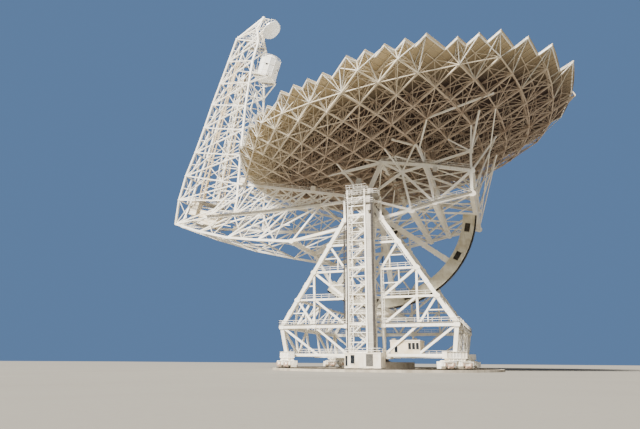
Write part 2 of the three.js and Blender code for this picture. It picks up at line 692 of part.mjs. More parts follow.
// The two side trusses of the box under the dish, hung on the elevation axis
const sidePoint = (x, z) => [x, -BOX_Y, z];
const BEARING = sidePoint(AXIS_PARENT_X, AXIS_PARENT_Z);
const UPPER = {
  low: sidePoint(45.5, 2),
  first: sidePoint(56.4, 6.7),
  dip: sidePoint(63.1, 4.6),
  second: sidePoint(69.3, 7.7),
  third: sidePoint(82.1, 7.9),
  tip: sidePoint(80.8, 13.6),
};
const LOWER = {
  tail: sidePoint(35, -22),
  under: sidePoint(54.3, -12.8),
  first: sidePoint(68.4, -6.1),
  second: sidePoint(74.3, -2.9),
  third: sidePoint(83.6, 1.4),
};

const EYE_RADIUS = 2.2;
const EYE_HALF_WIDTH = 0.8;

const shaftEye = (y, grow = 0) => cylinderAlongY(EYE_RADIUS + grow, y - EYE_HALF_WIDTH - grow,
  y + EYE_HALF_WIDTH + grow, AXIS_PARENT_X, AXIS_PARENT_Z, ROUND_SIDES);

const boxSide = () => {
  const frame = new Frame();
  frame.chain([LOWER.tail, LOWER.under, LOWER.first, LOWER.second, LOWER.third], BOX_CHORD);
  frame.chain([BEARING, UPPER.low, UPPER.first, UPPER.second, UPPER.third, LOWER.third], BOX_CHORD);
  frame.bar(BEARING, UPPER.first, BOX_POST);
  frame.chain([UPPER.first, UPPER.dip, UPPER.second], BOX_MEMBER);
  frame.bar(BEARING, LOWER.under, BOX_MEMBER);
  frame.bar(BEARING, LOWER.first, BOX_MEMBER);
  frame.bar(BEARING, UPPER.dip, BOX_MEMBER);
  frame.bar(UPPER.dip, LOWER.first, BOX_MEMBER);
  frame.bar(UPPER.dip, LOWER.second, BOX_MEMBER);
  frame.bar(UPPER.second, LOWER.second, BOX_MEMBER);
  frame.bar(LOWER.second, UPPER.third, BOX_MEMBER);
  frame.bar(UPPER.third, UPPER.tip, BOX_MEMBER);
  frame.bar(UPPER.second, UPPER.tip, BRACE);
  return frame;
};

// Cross beams between the two sides of the box, tied by a spine and by braces that fan out from it
const halfWay = ([x, y, z]) => [x, y / 2, z];
const middle = ([x, , z]) => [x, 0, z];

const ladder = (points, width, braceWidth) => {
  const frame = new Frame();
  const across = (point) => [point, halfWay(point), middle(point), halfWay(flipY(point)), flipY(point)];
  points.forEach((point) => frame.chain(across(point), width));
  points.slice(1).forEach((point, index) => {
    const last = points[index];
    frame.bar(halfWay(last), middle(point), braceWidth);
    frame.bar(halfWay(flipY(last)), middle(point), braceWidth);
  });
  return frame;
};

// The gear sector at the middle of the elevation axis
const ARC_STEPS = 12;

const arcSolid = (inner, outer, width, from, to) => {
  const shape = new THREE.Shape();
  shape.absarc(0, 0, outer, to, from, false);
  shape.absarc(0, 0, inner, from, to, true);
  const settings = { depth: width, bevelEnabled: false, curveSegments: ARC_STEPS };
  const geometry = new THREE.ExtrudeGeometry(shape, settings);
  return solidOf(geometry.rotateX(Math.PI / 2).translate(AXIS_PARENT_X, width / 2, AXIS_PARENT_Z));
};

const onWheel = (radius, degrees) => {
  const angle = THREE.MathUtils.degToRad(degrees);
  return [AXIS_PARENT_X + radius * Math.cos(angle), 0, AXIS_PARENT_Z + radius * Math.sin(angle)];
};

const SPOKE = 1.5;
const SPOKE_ANGLES = { upper: -22.2, middle: -67.3, lower: -108 };
const TAIL_ANGLE = -138.7;
const TAIL_TIE_RADIUS = 27.5;
const TAIL_TIE_ANGLE = -112;
const POCKET_ANGLES = [3, -16.5, -57.6, -77, -96];
const POCKET_RADIUS = 27.7;
const POCKET_HALF_LENGTH = 1.4;
const POCKET_HALF_HEIGHT = 0.75;
const POCKET_DEPTH = 0.4;
const rimOuter = GEAR_RADIUS - GEAR_DEPTH - SEAM;
const tailPoint = middle(LOWER.tail);

const pocketSolid = (degrees, side) => {
  const size = [2 * POCKET_HALF_HEIGHT, 2 * POCKET_DEPTH, 2 * POCKET_HALF_LENGTH];
  const [x, , z] = onWheel(POCKET_RADIUS, degrees);
  const geometry = new THREE.BoxGeometry(...size).rotateY(-THREE.MathUtils.degToRad(degrees));
  return solidOf(geometry.translate(x, (side * RIM_WIDTH) / 2, z));
};

const HUB_RADIUS = 2.9;
const HUB_HALF_WIDTH = 1.1;
const SPOKE_START = HUB_RADIUS * 0.8;

const buildSpokes = (rimRoom, tail) => {
  const hub = (grow) => cylinderAlongY(HUB_RADIUS + grow, -HUB_HALF_WIDTH - grow, HUB_HALF_WIDTH + grow,
    AXIS_PARENT_X, AXIS_PARENT_Z, ROUND_SIDES);
  const hubRoom = hub(SEAM);
  addPiece(parent, 'sector_hub', hub(0).subtract(shaftRoom()), paint);
  Object.entries(SPOKE_ANGLES).forEach(([place, degrees]) => {
    const rimEnd = onWheel(RIM_INNER_RADIUS + SPOKE / 2, degrees);
    const spoke = new Frame().bar(onWheel(SPOKE_START, degrees), rimEnd, SPOKE);
    addPiece(parent, `sector_spoke_${place}`, spoke.solid().subtract(rimRoom).subtract(hubRoom), paint);
  });
  const strut = new Frame().bar(onWheel(SPOKE_START, TAIL_ANGLE), tailPoint, SPOKE);
  addPiece(parent, 'tail_strut', clearOf(strut.solid().subtract(hubRoom), [tail]), paint);
};

const tailFrame = () => {
  const frame = new Frame();
  frame.chain([LOWER.tail, tailPoint, flipY(LOWER.tail)], LATERAL);
  frame.bar(tailPoint, onWheel(TAIL_TIE_RADIUS, TAIL_TIE_ANGLE), CHORD);
  return frame;
};

const shaftSolid = (grow = 0) => cylinderAlongY(SHAFT_RADIUS + grow, -SHAFT_HALF_LENGTH, SHAFT_HALF_LENGTH,
  AXIS_PARENT_X, AXIS_PARENT_Z);
const shaftRoom = () => shaftSolid(SEAM);

const buildBox = (backup) => {
  const front = boxSide();
  const back = mirrored(front, flipY);
  const top = ladder([UPPER.first, UPPER.second, UPPER.third], LATERAL, BRACE);
  const bottom = ladder([LOWER.first, LOWER.second, LOWER.third], LATERAL, BRACE);
  const tail = tailFrame();
  addPiece(parent, 'elevation_shaft', shaftSolid(), bareSteel);
  for (const [place, frame, y] of [['front', front, -BOX_Y], ['back', back, BOX_Y]]) {
    const whole = clearOf(frame.solid().add(shaftEye(y)), backup);
    addPiece(parent, `box_side_${place}`, whole.subtract(shaftRoom()), paint);
  }
  addPiece(parent, 'box_top', clearOf(top.solid(), [front, back, ...backup]), paint);
  addPiece(parent, 'box_bottom', clearOf(bottom.solid(), [front, back]), paint);
  const rim = arcSolid(RIM_INNER_RADIUS, rimOuter, RIM_WIDTH, RIM_START, RIM_END);
  const pockets = POCKET_ANGLES.flatMap((degrees) => [-1, 1].map((side) => pocketSolid(degrees, side)));
  const rimCut = pockets.reduce((whole, pocket) => whole.subtract(pocket), rim);
  addPiece(parent, 'gear_sector', clearOf(rimCut, [bottom]), paint);
  addPiece(parent, 'gear_rack', clearOf(arcSolid(GEAR_RADIUS - GEAR_DEPTH, GEAR_RADIUS, RIM_WIDTH / 2,
    RIM_START, RIM_END), [bottom]), bareSteel);
  const endSeam = SEAM / RIM_INNER_RADIUS;
  const rimRoom = arcSolid(RIM_INNER_RADIUS - SEAM, GEAR_RADIUS + SEAM, RIM_WIDTH + 2 * SEAM,
    RIM_START + endSeam, RIM_END - endSeam);
  buildSpokes(rimRoom, tail);
  addPiece(parent, 'sector_tail', clearOf(tail.solid().subtract(rimRoom), [front, back]), paint);
  return [front, back, top, bottom, tail];
};

// The level part of the feed arm: three chords a side that close in towards the mast
const UPPER_CHORD = [BEARING, [43.4, -17.9, -4.8], [33.2, -15.9, -4.8], [22.6, -13.8, -4.8],
  [11.7, -11.7, -4.8], [4.2, -10.2, -4.8]];
const MIDDLE_CHORD = [BEARING, [40, -17.4, -8.8], [28.5, -15.2, -11.6], [18.5, -13.3, -13.9],
  [7, -11.2, -16.2], [-4.8, -9, -18.6]];
const LOWER_CHORD = [LOWER.tail, [21, -15.5, -23.3], [7, -11, -24.2], [-8, -6.5, -23.8],
  [-22.8, -1.8, -22.5]];

const armSide = () => {
  const frame = new Frame();
  for (const chord of [UPPER_CHORD, MIDDLE_CHORD, LOWER_CHORD]) {
    frame.chain(chord, ARM_CHORD);
  }
  for (let bay = 1; bay < UPPER_CHORD.length; bay += 1) {
    frame.bar(UPPER_CHORD[bay], MIDDLE_CHORD[bay], ARM_BRACE);
    frame.bar(MIDDLE_CHORD[bay], UPPER_CHORD[Math.max(bay - 1, 1)], WEB);
  }
  for (let bay = 1; bay < LOWER_CHORD.length; bay += 1) {
    frame.bar(LOWER_CHORD[bay - 1], MIDDLE_CHORD[bay], ARM_BRACE);
    frame.bar(MIDDLE_CHORD[bay + 1] ?? MIDDLE_CHORD[bay], LOWER_CHORD[bay], ARM_BRACE);
    frame.bar(MIDDLE_CHORD[bay], LOWER_CHORD[bay], WEB);
  }
  return frame;
};

// The upright feed mast: a narrow outer face, and a wider inner face that leans out towards the dish
const MAST_OUTER = [[-22.8, -1.8, -22.5], [-23.3, -3.6, -13.5], [-23.5, -3.9, -3.8], [-22.8, -3.8, 6],
  [-22.6, -3.6, 16.6], [-22.6, -3.5, 26.6], [-22.2, -3.4, 36], [-21.9, -3.3, 46], [-21.6, -3.2, 56.3],
  [-12.9, -2.4, 67]];
const MAST_INNER = [[7, -11.2, -16.2], [6.2, -10.8, -11], [4.2, -10.2, -4.8], [0.9, -9.2, 6], [-2, -8.3, 16],
  [-4.8, -7.4, 26], [-7.2, -6.4, 36], [-9.6, -5.2, 46], [-11, -3.4, 55.5], [-14.2, -2.6, 62]];

const mastSide = () => {
  const frame = new Frame();
  const last = MAST_OUTER.length - 1;
  frame.chain(MAST_OUTER, MAST_CHORD);
  frame.chain(MAST_INNER, MAST_CHORD);
  frame.bar(MAST_OUTER[last], MAST_INNER[last], MAST_CHORD);
  for (let level = 1; level < last; level += 1) {
    frame.bar(MAST_OUTER[level], MAST_INNER[level], MAST_BRACE);
    frame.bar(MAST_OUTER[level - 1], MAST_INNER[level], MAST_BRACE);
  }
  frame.bar(MAST_OUTER[last - 1], MAST_INNER[last], MAST_BRACE);
  return frame;
};

const RECEIVER_X = -5;
const RECEIVER_RADIUS = 3.9;
const RECEIVER_TOP = 49.2;
const RECEIVER_SIDES = 12;
const DECK_Z = 41;
const DECK_REACH_X = -1.8;
const DECK_REACH_Y = 3;
const RECEIVER_BOTTOM = DECK_Z + MAST_BRACE / 2 + SEAM;
const TURRET_TOP_RADIUS = 2.2;
const TURRET_BASE_RADIUS = 3.2;
const TURRET_HEIGHT = 1.6;

const receiverDeck = () => {
  const inner = between(MAST_INNER[6], MAST_INNER[7], 0.5);
  const outward = [DECK_REACH_X, -DECK_REACH_Y, DECK_Z];
  const frame = new Frame();
  frame.chain([inner, outward, flipY(outward), flipY(inner)], MAST_BRACE);
  frame.bar(inner, flipY(inner), MAST_BRACE);
  for (const flip of [(point) => point, flipY]) {
    frame.bar(flip(outward), flip(MAST_INNER[6]), MAST_BRACE);
  }
  return frame;
};

const SUBREFLECTOR_CENTRE = [-9.7, 0, 63.6];
const SUBREFLECTOR_RADIUS = 3.95;
const SUBREFLECTOR_FACING = new THREE.Vector3(0.777, 0, -0.63).normalize();
const SUBREFLECTOR_PROFILE = [[0, -1.1], [1.5, -1], [2.9, -0.5], [SUBREFLECTOR_RADIUS, 0.6],
  [SUBREFLECTOR_RADIUS, 0.9], [2.8, 0.44], [1.4, 0.11], [0, 0]];
const BACK_MOUNT_DISTANCE = 1.2;
const BACK_MOUNT = vector(SUBREFLECTOR_CENTRE)
  .addScaledVector(SUBREFLECTOR_FACING, -BACK_MOUNT_DISTANCE).toArray();

const tipFrame = () => {
  const last = MAST_OUTER.length - 1;
  const frame = new Frame();
  for (const flip of [(point) => point, flipY]) {
    frame.bar(flip(MAST_OUTER[last]), BACK_MOUNT, MAST_BRACE);
    frame.bar(flip(MAST_INNER[last]), BACK_MOUNT, MAST_BRACE);
  }
  return frame.bar(MAST_OUTER[last], flipY(MAST_OUTER[last]), MAST_BRACE);
};

const buildFeedArm = (box) => {
  const side = armSide();
  const sides = [side, mirrored(side, flipY)];
  const mast = mastSide();
  const masts = [mast, mirrored(mast, flipY)];
  const eyes = shaftEye(-BOX_Y, SEAM).add(shaftEye(BOX_Y, SEAM));
  ['front', 'back'].forEach((place, index) => {
    addPiece(parent, `feed_arm_${place}`, clearOf(sides[index].solid().subtract(eyes), box), paint);
    addPiece(parent, `feed_mast_${place}`, clearOf(masts[index].solid(), sides), paint);
  });
  const arms = [...sides, ...masts, ...box];
  const addLadder = (name, points, width, braceWidth) => {
    const frame = ladder(points, width, braceWidth);
    addPiece(parent, name, clearOf(frame.solid(), arms), paint);
    return frame;
  };
  addLadder('feed_arm_top', UPPER_CHORD.slice(1), ARM_BRACE, WEB);
  addLadder('feed_arm_bottom', LOWER_CHORD.slice(1, 4), ARM_BRACE, WEB);
  addLadder('feed_mast_outer', MAST_OUTER.slice(1, 9), MAST_BRACE, MAST_BRACE);
  const inner = addLadder('feed_mast_inner', MAST_INNER.slice(3, 7), MAST_BRACE, MAST_BRACE);
  const deck = receiverDeck();
  addPiece(parent, 'receiver_deck', clearOf(deck.solid(), [...arms, inner]), paint);
  const roomHeight = RECEIVER_TOP - RECEIVER_BOTTOM;
  const room = new THREE.CylinderGeometry(RECEIVER_RADIUS, RECEIVER_RADIUS, roomHeight, RECEIVER_SIDES);
  room.rotateX(Math.PI / 2).translate(RECEIVER_X, 0, RECEIVER_BOTTOM + roomHeight / 2);
  addPiece(parent, 'receiver_room', clearOf(solidOf(room), [deck, ...masts]), paint);
  const turret = new THREE.CylinderGeometry(TURRET_TOP_RADIUS, TURRET_BASE_RADIUS, TURRET_HEIGHT,
    RECEIVER_SIDES);
  turret.rotateX(Math.PI / 2).translate(RECEIVER_X, 0, RECEIVER_TOP + SEAM + TURRET_HEIGHT / 2);
  addPiece(parent, 'feed_turret', solidOf(turret), paint);
  const tip = tipFrame();
  addPiece(parent, 'tip_frame', clearOf(tip.solid(), masts), paint);
  const profile = SUBREFLECTOR_PROFILE.map(([r, z]) => new THREE.Vector2(r, z));
  const dish = new THREE.LatheGeometry(profile, ROUND_SIDES);
  const lathedAlong = new THREE.Vector3(0, 1, 0);
  dish.applyQuaternion(new THREE.Quaternion().setFromUnitVectors(lathedAlong, SUBREFLECTOR_FACING));
  addPiece(parent, 'subreflector', clearOf(solidOf(dish.translate(...SUBREFLECTOR_CENTRE)), [tip]), paint);
};

buildGround();
buildAlidade();
const backup = buildDish();
buildFeedArm(buildBox(backup));
parent.position.set(-AXIS_PARENT_X, 0, -AXIS_PARENT_Z);
tipping.add(parent);
tipping.position.z = AXIS_HEIGHT;
tipping.rotation.y = REST_TILT;
model.add(tipping);

export default model;
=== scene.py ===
# A radio telescope dish at 1:10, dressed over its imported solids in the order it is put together.
# Lengths are the real ones in metres, and MODEL turns them into the metres of the model.
import math

import bpy
from mathutils import Matrix, Vector


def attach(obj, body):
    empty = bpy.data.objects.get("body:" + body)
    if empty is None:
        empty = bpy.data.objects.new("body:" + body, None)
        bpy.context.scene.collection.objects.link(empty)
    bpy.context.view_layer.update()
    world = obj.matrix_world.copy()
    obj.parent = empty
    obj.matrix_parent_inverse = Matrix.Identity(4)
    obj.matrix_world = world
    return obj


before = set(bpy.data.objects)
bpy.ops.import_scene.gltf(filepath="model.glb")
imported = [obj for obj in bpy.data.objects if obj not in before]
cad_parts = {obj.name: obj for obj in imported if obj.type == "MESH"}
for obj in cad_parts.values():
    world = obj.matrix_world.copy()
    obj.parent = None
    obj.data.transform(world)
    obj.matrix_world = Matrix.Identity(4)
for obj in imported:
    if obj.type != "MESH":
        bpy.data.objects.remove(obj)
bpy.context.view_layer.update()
MODEL = 0.1

# Track foundation and rail: a ring of cast concrete with a machined steel rail grouted on it.
# Clips bolted through the rail's foot hold it down every few degrees on both sides.
ON_GROUND = ("ground_works", "bare_steel")
RIGHT = Vector((1, 0, 0))
AHEAD = Vector((0, 1, 0))
UP = Vector((0, 0, 1))
SIDES = (-1, 1)
TRACK_RADIUS = 32
RAIL_HALF_WIDTH = 0.6
RAIL_FOOT_TOP = 0.6
CLIPS_ROUND = 160
CLIP = (0.34, 0.26, 0.12)
BLOTCH_BAND = (0.42, 0.68)
STREAK_BAND = (0.5, 0.74)
STREAK_STRETCH = (1, 1, 7)
SMOOTHER = 0.06
ROUGHER = 0.1


def add_node(tree, kind, sockets=None, **settings):
    """Adds a node with its settings, and gives its sockets a value or a link."""
    node = tree.nodes.new(kind)
    for setting, value in settings.items():
        setattr(node, setting, value)
    for socket, value in (sockets or {}).items():
        if isinstance(value, bpy.types.NodeSocket):
            tree.links.new(value, node.inputs[socket])
        else:
            node.inputs[socket].default_value = value
    return node


def colour(hex_code):
    """The linear colour of an sRGB hex code."""
    channels = [int(hex_code[place:place + 2], 16) / 255 for place in (1, 3, 5)]
    return [c / 12.92 if c <= 0.04045 else ((c + 0.055) / 1.055) ** 2.4 for c in channels] + [1]


def grain(tree, size, detail=3, stretch=(1, 1, 1)):
    """Noise whose blotches are about size real metres across, longer where stretch is over 1."""
    place = add_node(tree, "ShaderNodeTexCoord").outputs["Object"]
    scale = [1 / (size * MODEL * part) for part in stretch]
    spread = add_node(tree, "ShaderNodeMapping", {"Vector": place, "Scale": scale})
    return add_node(tree, "ShaderNodeTexNoise", {"Vector": spread.outputs[0], "Scale": 1.0,
                                                 "Detail": detail}).outputs[0]


def between(tree, amount, low, high):
    """Turns the part of a noise between low and high into 0 to 1."""
    return add_node(tree, "ShaderNodeMapRange", {"Value": amount, "From Min": low,
                                                 "From Max": high}).outputs[0]


def blend(tree, amount, first, second):
    """Mixes two colours or links by an amount, through the sockets the node keeps for colours."""
    return add_node(tree, "ShaderNodeMix", {0: amount, 6: first, 7: second},
                    data_type="RGBA").outputs[2]


def coated(name, face, worn, roughness, metallic=0.0, blotch=2.5, streak=0.5):
    """A surface in two near colours: broad blotches, and streaks that run down it."""
    material = bpy.data.materials.new(name)
    material.use_nodes = True
    tree = material.node_tree
    shader = tree.nodes["Principled BSDF"]
    broad = between(tree, grain(tree, blotch), *BLOTCH_BAND)
    streaks = between(tree, grain(tree, streak, 4, STREAK_STRETCH), *STREAK_BAND)
    both = add_node(tree, "ShaderNodeMath", {0: broad, 1: streaks}, operation="MAXIMUM")
    tint = blend(tree, both.outputs[0], colour(face), colour(worn))
    tree.links.new(tint, shader.inputs["Base Color"])
    sheen = add_node(tree, "ShaderNodeMapRange", {"Value": broad, "To Min": roughness - SMOOTHER,
                                                  "To Max": roughness + ROUGHER})
    tree.links.new(sheen.outputs[0], shader.inputs["Roughness"])
    shader.inputs["Metallic"].default_value = metallic
    return material


def roughened(material, size, depth):
    """Adds fine relief of the given grain size and depth, in real metres."""
    tree = material.node_tree
    bump = add_node(tree, "ShaderNodeBump", {"Height": grain(tree, size), "Distance": depth * MODEL,
                                             "Strength": 0.8})
    tree.links.new(bump.outputs[0], tree.nodes["Principled BSDF"].inputs["Normal"])
    return material


# Cast concrete, weathered: pale grey-buff with broad damp marks and a coarse grain, drawn
# ten times too coarse so that it shows
concrete = roughened(coated("cast_concrete", "#B9B0A0", "#93897A", 0.9, blotch=3.0, streak=0.8),
                     0.25, 0.05)
# Rolled steel, ground by the wheels: dark brown-grey with a dull shine
rail_steel = coated("wheel_polished_rail_steel", "#6E6862", "#4E4640", 0.42, 0.85, blotch=0.8)


def painted(nodes, material):
    """Gives CAD nodes a material."""
    for name in nodes:
        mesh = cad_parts[name].data
        mesh.materials.clear()
        mesh.materials.append(material)


def painted_all(starts, material):
    """Gives a material to every CAD node whose name starts in one of the given ways."""
    painted([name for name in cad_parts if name.startswith(starts)], material)


def grown(name, mesh, tree, given):
    """Runs a node tree on a mesh, keeps the result as one plain mesh, and returns its object."""
    piece = bpy.data.objects.new(name, mesh)
    bpy.context.scene.collection.objects.link(piece)
    modifier = piece.modifiers.new("growth", "NODES")
    modifier.node_group = tree
    for item in tree.interface.items_tree:
        if item.in_out == "INPUT" and item.name in given:
            modifier[item.identifier] = given[item.name]
    made = piece.evaluated_get(bpy.context.evaluated_depsgraph_get())
    plain = bpy.data.meshes.new_from_object(made)
    piece.modifiers.remove(modifier)
    piece.data = plain
    plain.name = name
    return piece


def mounted(piece, ride):
    """Says which body a finished piece rides on; the finish named second in ride is not used."""
    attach(piece, ride[0])
    return piece


def new_tree(name, inputs):
    """A geometry tree with a mesh input called Base and the named inputs."""
    tree = bpy.data.node_groups.new(name, "GeometryNodeTree")
    tree.interface.new_socket(name="Base", in_out="INPUT", socket_type="NodeSocketGeometry")
    for label, kind in inputs.items():
        tree.interface.new_socket(name=label, in_out="INPUT", socket_type=f"NodeSocket{kind}")
    tree.interface.new_socket(name="Made", in_out="OUTPUT", socket_type="NodeSocketGeometry")
    return tree, add_node(tree, "NodeGroupInput").outputs


def end_tree(tree, shape, material):
    """Ends a tree in real geometry with its material on it."""
    real = add_node(tree, "GeometryNodeRealizeInstances", {"Geometry": shape})
    flat = add_node(tree, "GeometryNodeSetShadeSmooth", {"Geometry": real.outputs[0],
                                                         "Shade Smooth": False})
    coat = add_node(tree, "GeometryNodeSetMaterial", {"Geometry": flat.outputs[0],
                                                      "Material": material})
    add_node(tree, "NodeGroupOutput", {"Made": coat.outputs[0]})
    return tree


def corner_radius(tree, sides):
    """Half a turn over the sides, and the radius at the corners of a section 1 m across flats."""
    half_turn = add_node(tree, "ShaderNodeMath", {0: math.pi, 1: sides}, operation="DIVIDE").outputs[0]
    flat = add_node(tree, "ShaderNodeMath", {0: half_turn}, operation="COSINE").outputs[0]
    radius = add_node(tree, "ShaderNodeMath", {0: 0.5, 1: flat}, operation="DIVIDE").outputs[0]
    return add_node(tree, "ShaderNodeCombineXYZ", {"Z": half_turn}).outputs[0], radius


def prism_tree():
    """Prisms set on points, X along out and Z along up, each as large as its size attribute says."""
    tree, given = new_tree("Prisms on points", {"Sides": "Int", "Finish": "Material"})
    spin, radius = corner_radius(tree, given["Sides"])
    prism = add_node(tree, "GeometryNodeMeshCylinder", {"Vertices": given["Sides"], "Radius": radius,
                                                        "Depth": 1.0})
    turned = add_node(tree, "GeometryNodeTransform", {"Geometry": prism.outputs[0], "Rotation": spin})
    out, up, size = [add_node(tree, "GeometryNodeInputNamedAttribute", {"Name": label},
                              data_type="FLOAT_VECTOR").outputs[0] for label in ("out", "up", "size")]
    turn = add_node(tree, "FunctionNodeAxesToRotation", {"Primary Axis": up, "Secondary Axis": out},
                    primary_axis="Z", secondary_axis="X")
    set_out = add_node(tree, "GeometryNodeInstanceOnPoints", {
        "Points": given["Base"], "Instance": turned.outputs[0], "Rotation": turn.outputs[0],
        "Scale": size})
    return end_tree(tree, set_out.outputs[0], given["Finish"])


PRISMS = prism_tree()


def prisms(name, places, sides, material, ride):
    """Prisms with so many sides, each a centre, an out and an up direction and a size along them."""
    mesh = bpy.data.meshes.new(name)
    mesh.from_pydata([[value * MODEL for value in place[0]] for place in places], [], [])
    for label, index, scale in (("out", 1, 1), ("up", 2, 1), ("size", 3, MODEL)):
        layer = mesh.attributes.new(label, "FLOAT_VECTOR", "POINT")
        layer.data.foreach_set("vector", [value * scale for place in places for value in place[index]])
    return mounted(grown(name, mesh, PRISMS, {"Sides": sides, "Finish": material}), ride)


def spokes(count, first=RIGHT, second=AHEAD):
    """Directions evenly round a circle, from the first towards the second."""
    turns = [2 * math.pi * step / count for step in range(count)]
    return [first * math.cos(turn) + second * math.sin(turn) for turn in turns]


painted(["track_foundation", "pintle_foundation"], concrete)
painted(["track_rail", "pintle_pin"], rail_steel)
clips = []
for away in spokes(CLIPS_ROUND):
    for side in SIDES:
        reach = TRACK_RADIUS + side * (RAIL_HALF_WIDTH + CLIP[0] / 3)
        clips.append((away * reach + UP * (RAIL_FOOT_TOP + CLIP[2] / 2), away, UP, CLIP))
prisms("rail_clips", clips, 4, rail_steel, ON_GROUND)

# Pintle: a forged pin in a ring of anchor bolts, set in a low round block of concrete. It keeps
# the base centred, and carries none of its weight.
PINTLE_TOP = 2.4
FLANGE = (3.4, 3.4, 0.12)
ANCHOR_BOLT = (0.22, 0.22, 0.2)
ANCHOR_RING = 1.45
ANCHORS = 24
flange = [(UP * (PINTLE_TOP + FLANGE[2] / 2), RIGHT, UP, FLANGE)]
anchors = [(away * ANCHOR_RING + UP * (PINTLE_TOP + ANCHOR_BOLT[2]), away, UP, ANCHOR_BOLT)
           for away in spokes(ANCHORS)]
prisms("pintle_flange", flange, 24, rail_steel, ON_GROUND)
prisms("pintle_anchor_bolts", anchors, 6, rail_steel, ON_GROUND)

# Corner trucks: two bogies of two wheels under a balance beam, welded from thick plate. Each has
# its axle boxes bolted on outside, drive motors low between the wheels, and rail sweeps at its ends.
ON_BASE = ("alidade", "white_paint")
STEEL_ON_BASE = ("alidade", "bare_steel")
CORNERS = ((-1, -1), (1, -1), (1, 1), (-1, 1))
TRUCK_HALF = 22.63
WHEEL_OFFSETS = (-3.9, -1.5, 1.5, 3.9)
WHEEL_HEIGHT = 1.86
BOGIE_FACE = 1.1
BOGIE_CENTRES = (-2.7, 2.7)
BOGIE_TOP = 2.5
BOGIE_FLANGE = (0.26, 3.3, 0.14)
AXLE_BOX = (0.2, 0.9, 0.6)
AXLE_CAP = (0.6, 0.6, 0.34)
AXLE_CAP_OUT = 0.14
TRUCK_MOTOR = (0.62, 0.62, 1.5)
TRUCK_MOTOR_HEIGHT = 1.35
BEAM_RIBS = (-2.4, -1.2, 0, 1.2, 2.4)
BEAM_RIB = (0.14, 0.08, 0.56)
BEAM_FACE = 0.84
BEAM_HEIGHT = 3.02
RAIL_SWEEP = (1.5, 0.12, 0.7)
RAIL_SWEEP_HEIGHT = 1.3
TRUCK_END = 5.05
# Site-brushed white alkyd on steel: bright warm white with faint buff runs below the joints
white_paint = coated("brushed_white_alkyd", "#FFFBF1", "#EFE6D3", 0.5, blotch=4.0)
# Machinery enamel over a red-brown primer: dusty pinkish beige, worn brown
drive_enamel = coated("dusty_drive_enamel", "#C9AD99", "#9A7D6C", 0.5, blotch=0.6)
painted_all("truck_", white_paint)


def at_corner(corner, out, sideways, height):
    """A place at a corner of the base, measured outwards, along the track and up, and its directions."""
    radial = Vector((*corner, 0)).normalized()
    tangent = UP.cross(radial)
    centre = Vector((corner[0] * TRUCK_HALF, corner[1] * TRUCK_HALF, height))
    return centre + radial * out + tangent * sideways, radial, tangent


boxes = []
caps = []
motors = []
for corner in CORNERS:
    for face in SIDES:
        for offset in WHEEL_OFFSETS:
            spot, radial, tangent = at_corner(corner, face * (BOGIE_FACE + 0.08), offset, WHEEL_HEIGHT)
            boxes.append((spot, radial, UP, AXLE_BOX))
            caps.append((spot + radial * face * AXLE_CAP_OUT, UP, radial, AXLE_CAP))
        for bogie in BOGIE_CENTRES:
            spot = at_corner(corner, face * (BOGIE_FACE + 0.35), bogie, TRUCK_MOTOR_HEIGHT)[0]
            motors.append((spot, UP, tangent, TRUCK_MOTOR))
            spot = at_corner(corner, face * (BOGIE_FACE + 0.12), bogie, BOGIE_TOP)[0]
            boxes.append((spot, radial, UP, BOGIE_FLANGE))
        for rib in BEAM_RIBS:
            spot = at_corner(corner, face * BEAM_FACE, rib, BEAM_HEIGHT)[0]
            boxes.append((spot, radial, UP, BEAM_RIB))
    for end in SIDES:
        spot = at_corner(corner, 0, end * TRUCK_END, RAIL_SWEEP_HEIGHT)[0]
        boxes.append((spot, radial, UP, RAIL_SWEEP))
prisms("truck_boxes_and_ribs", boxes, 4, white_paint, ON_BASE)
prisms("truck_axle_caps", caps, 12, drive_enamel, ON_BASE)
prisms("truck_drive_motors", motors, 10, drive_enamel, STEEL_ON_BASE)

# Base beams and corner girders: closed box sections of welded plate, with diaphragm plates inside
# and flanges that stand a little proud. The girders lie across the corners, along the track.
GIRDER_LENGTH = 6.3
GIRDER_WIDTH = 1.6
GIRDER_Z = 4.15
GIRDER_FLANGE_PROUD = 0.15
DIAPHRAGMS = 7
BASE_Z = 4.1
BASE_FLOOR = BASE_Z + 0.4
BASE_BEAM = 23.1
RING_HALF = 23.8
RING_Z = 11.65
RING_FLOOR = RING_Z + 0.56
RING_EDGE = RING_HALF + 0.75
HANDRAIL = 0.09
PLATE = 0.09
WALK_WIDTH = 0.9
# Hot-dipped walkway grating: dull mid grey, seen as one even tone
grating = coated("hot_dipped_grating", "#A8A399", "#86817A", 0.65, 0.3, blotch=1.5)
painted_all(("a_frame_", "side_frame_", "pintle_girder", "pintle_strut_", "drive_girder"), white_paint)


def along(first, last, share):
    """A point between two others."""
    return Vector(first).lerp(Vector(last), share)


def midpoint(first, last):
    """The point halfway between two others."""
    return along(first, last, 0.5)


def pairs(points):
    """Each point of a row with the next one."""
    return list(zip(points, points[1:]))


def chain(points, width):
    """Members one after the other through a row of points."""
    return [(first, last, width) for first, last in pairs(points)]


def laced(one, other, bays, width, posts=True):
    """Zigzag bracing between two chords that are given by their ends, with cross posts or without."""
    made = []
    for bay in range(bays):
        start, stop = bay / bays, (bay + 1) / bays
        first, second = (one, other) if bay % 2 else (other, one)
        made.append((along(*first, start), along(*second, stop), width))
        if posts and bay:
            made.append((along(*one, start), along(*other, start), width))
    return made


def crossed(one, other, bays, width):
    """Crossed bracing in every bay between two chords."""
    return laced(one, other, bays, width) + laced(other, one, bays, width, False)


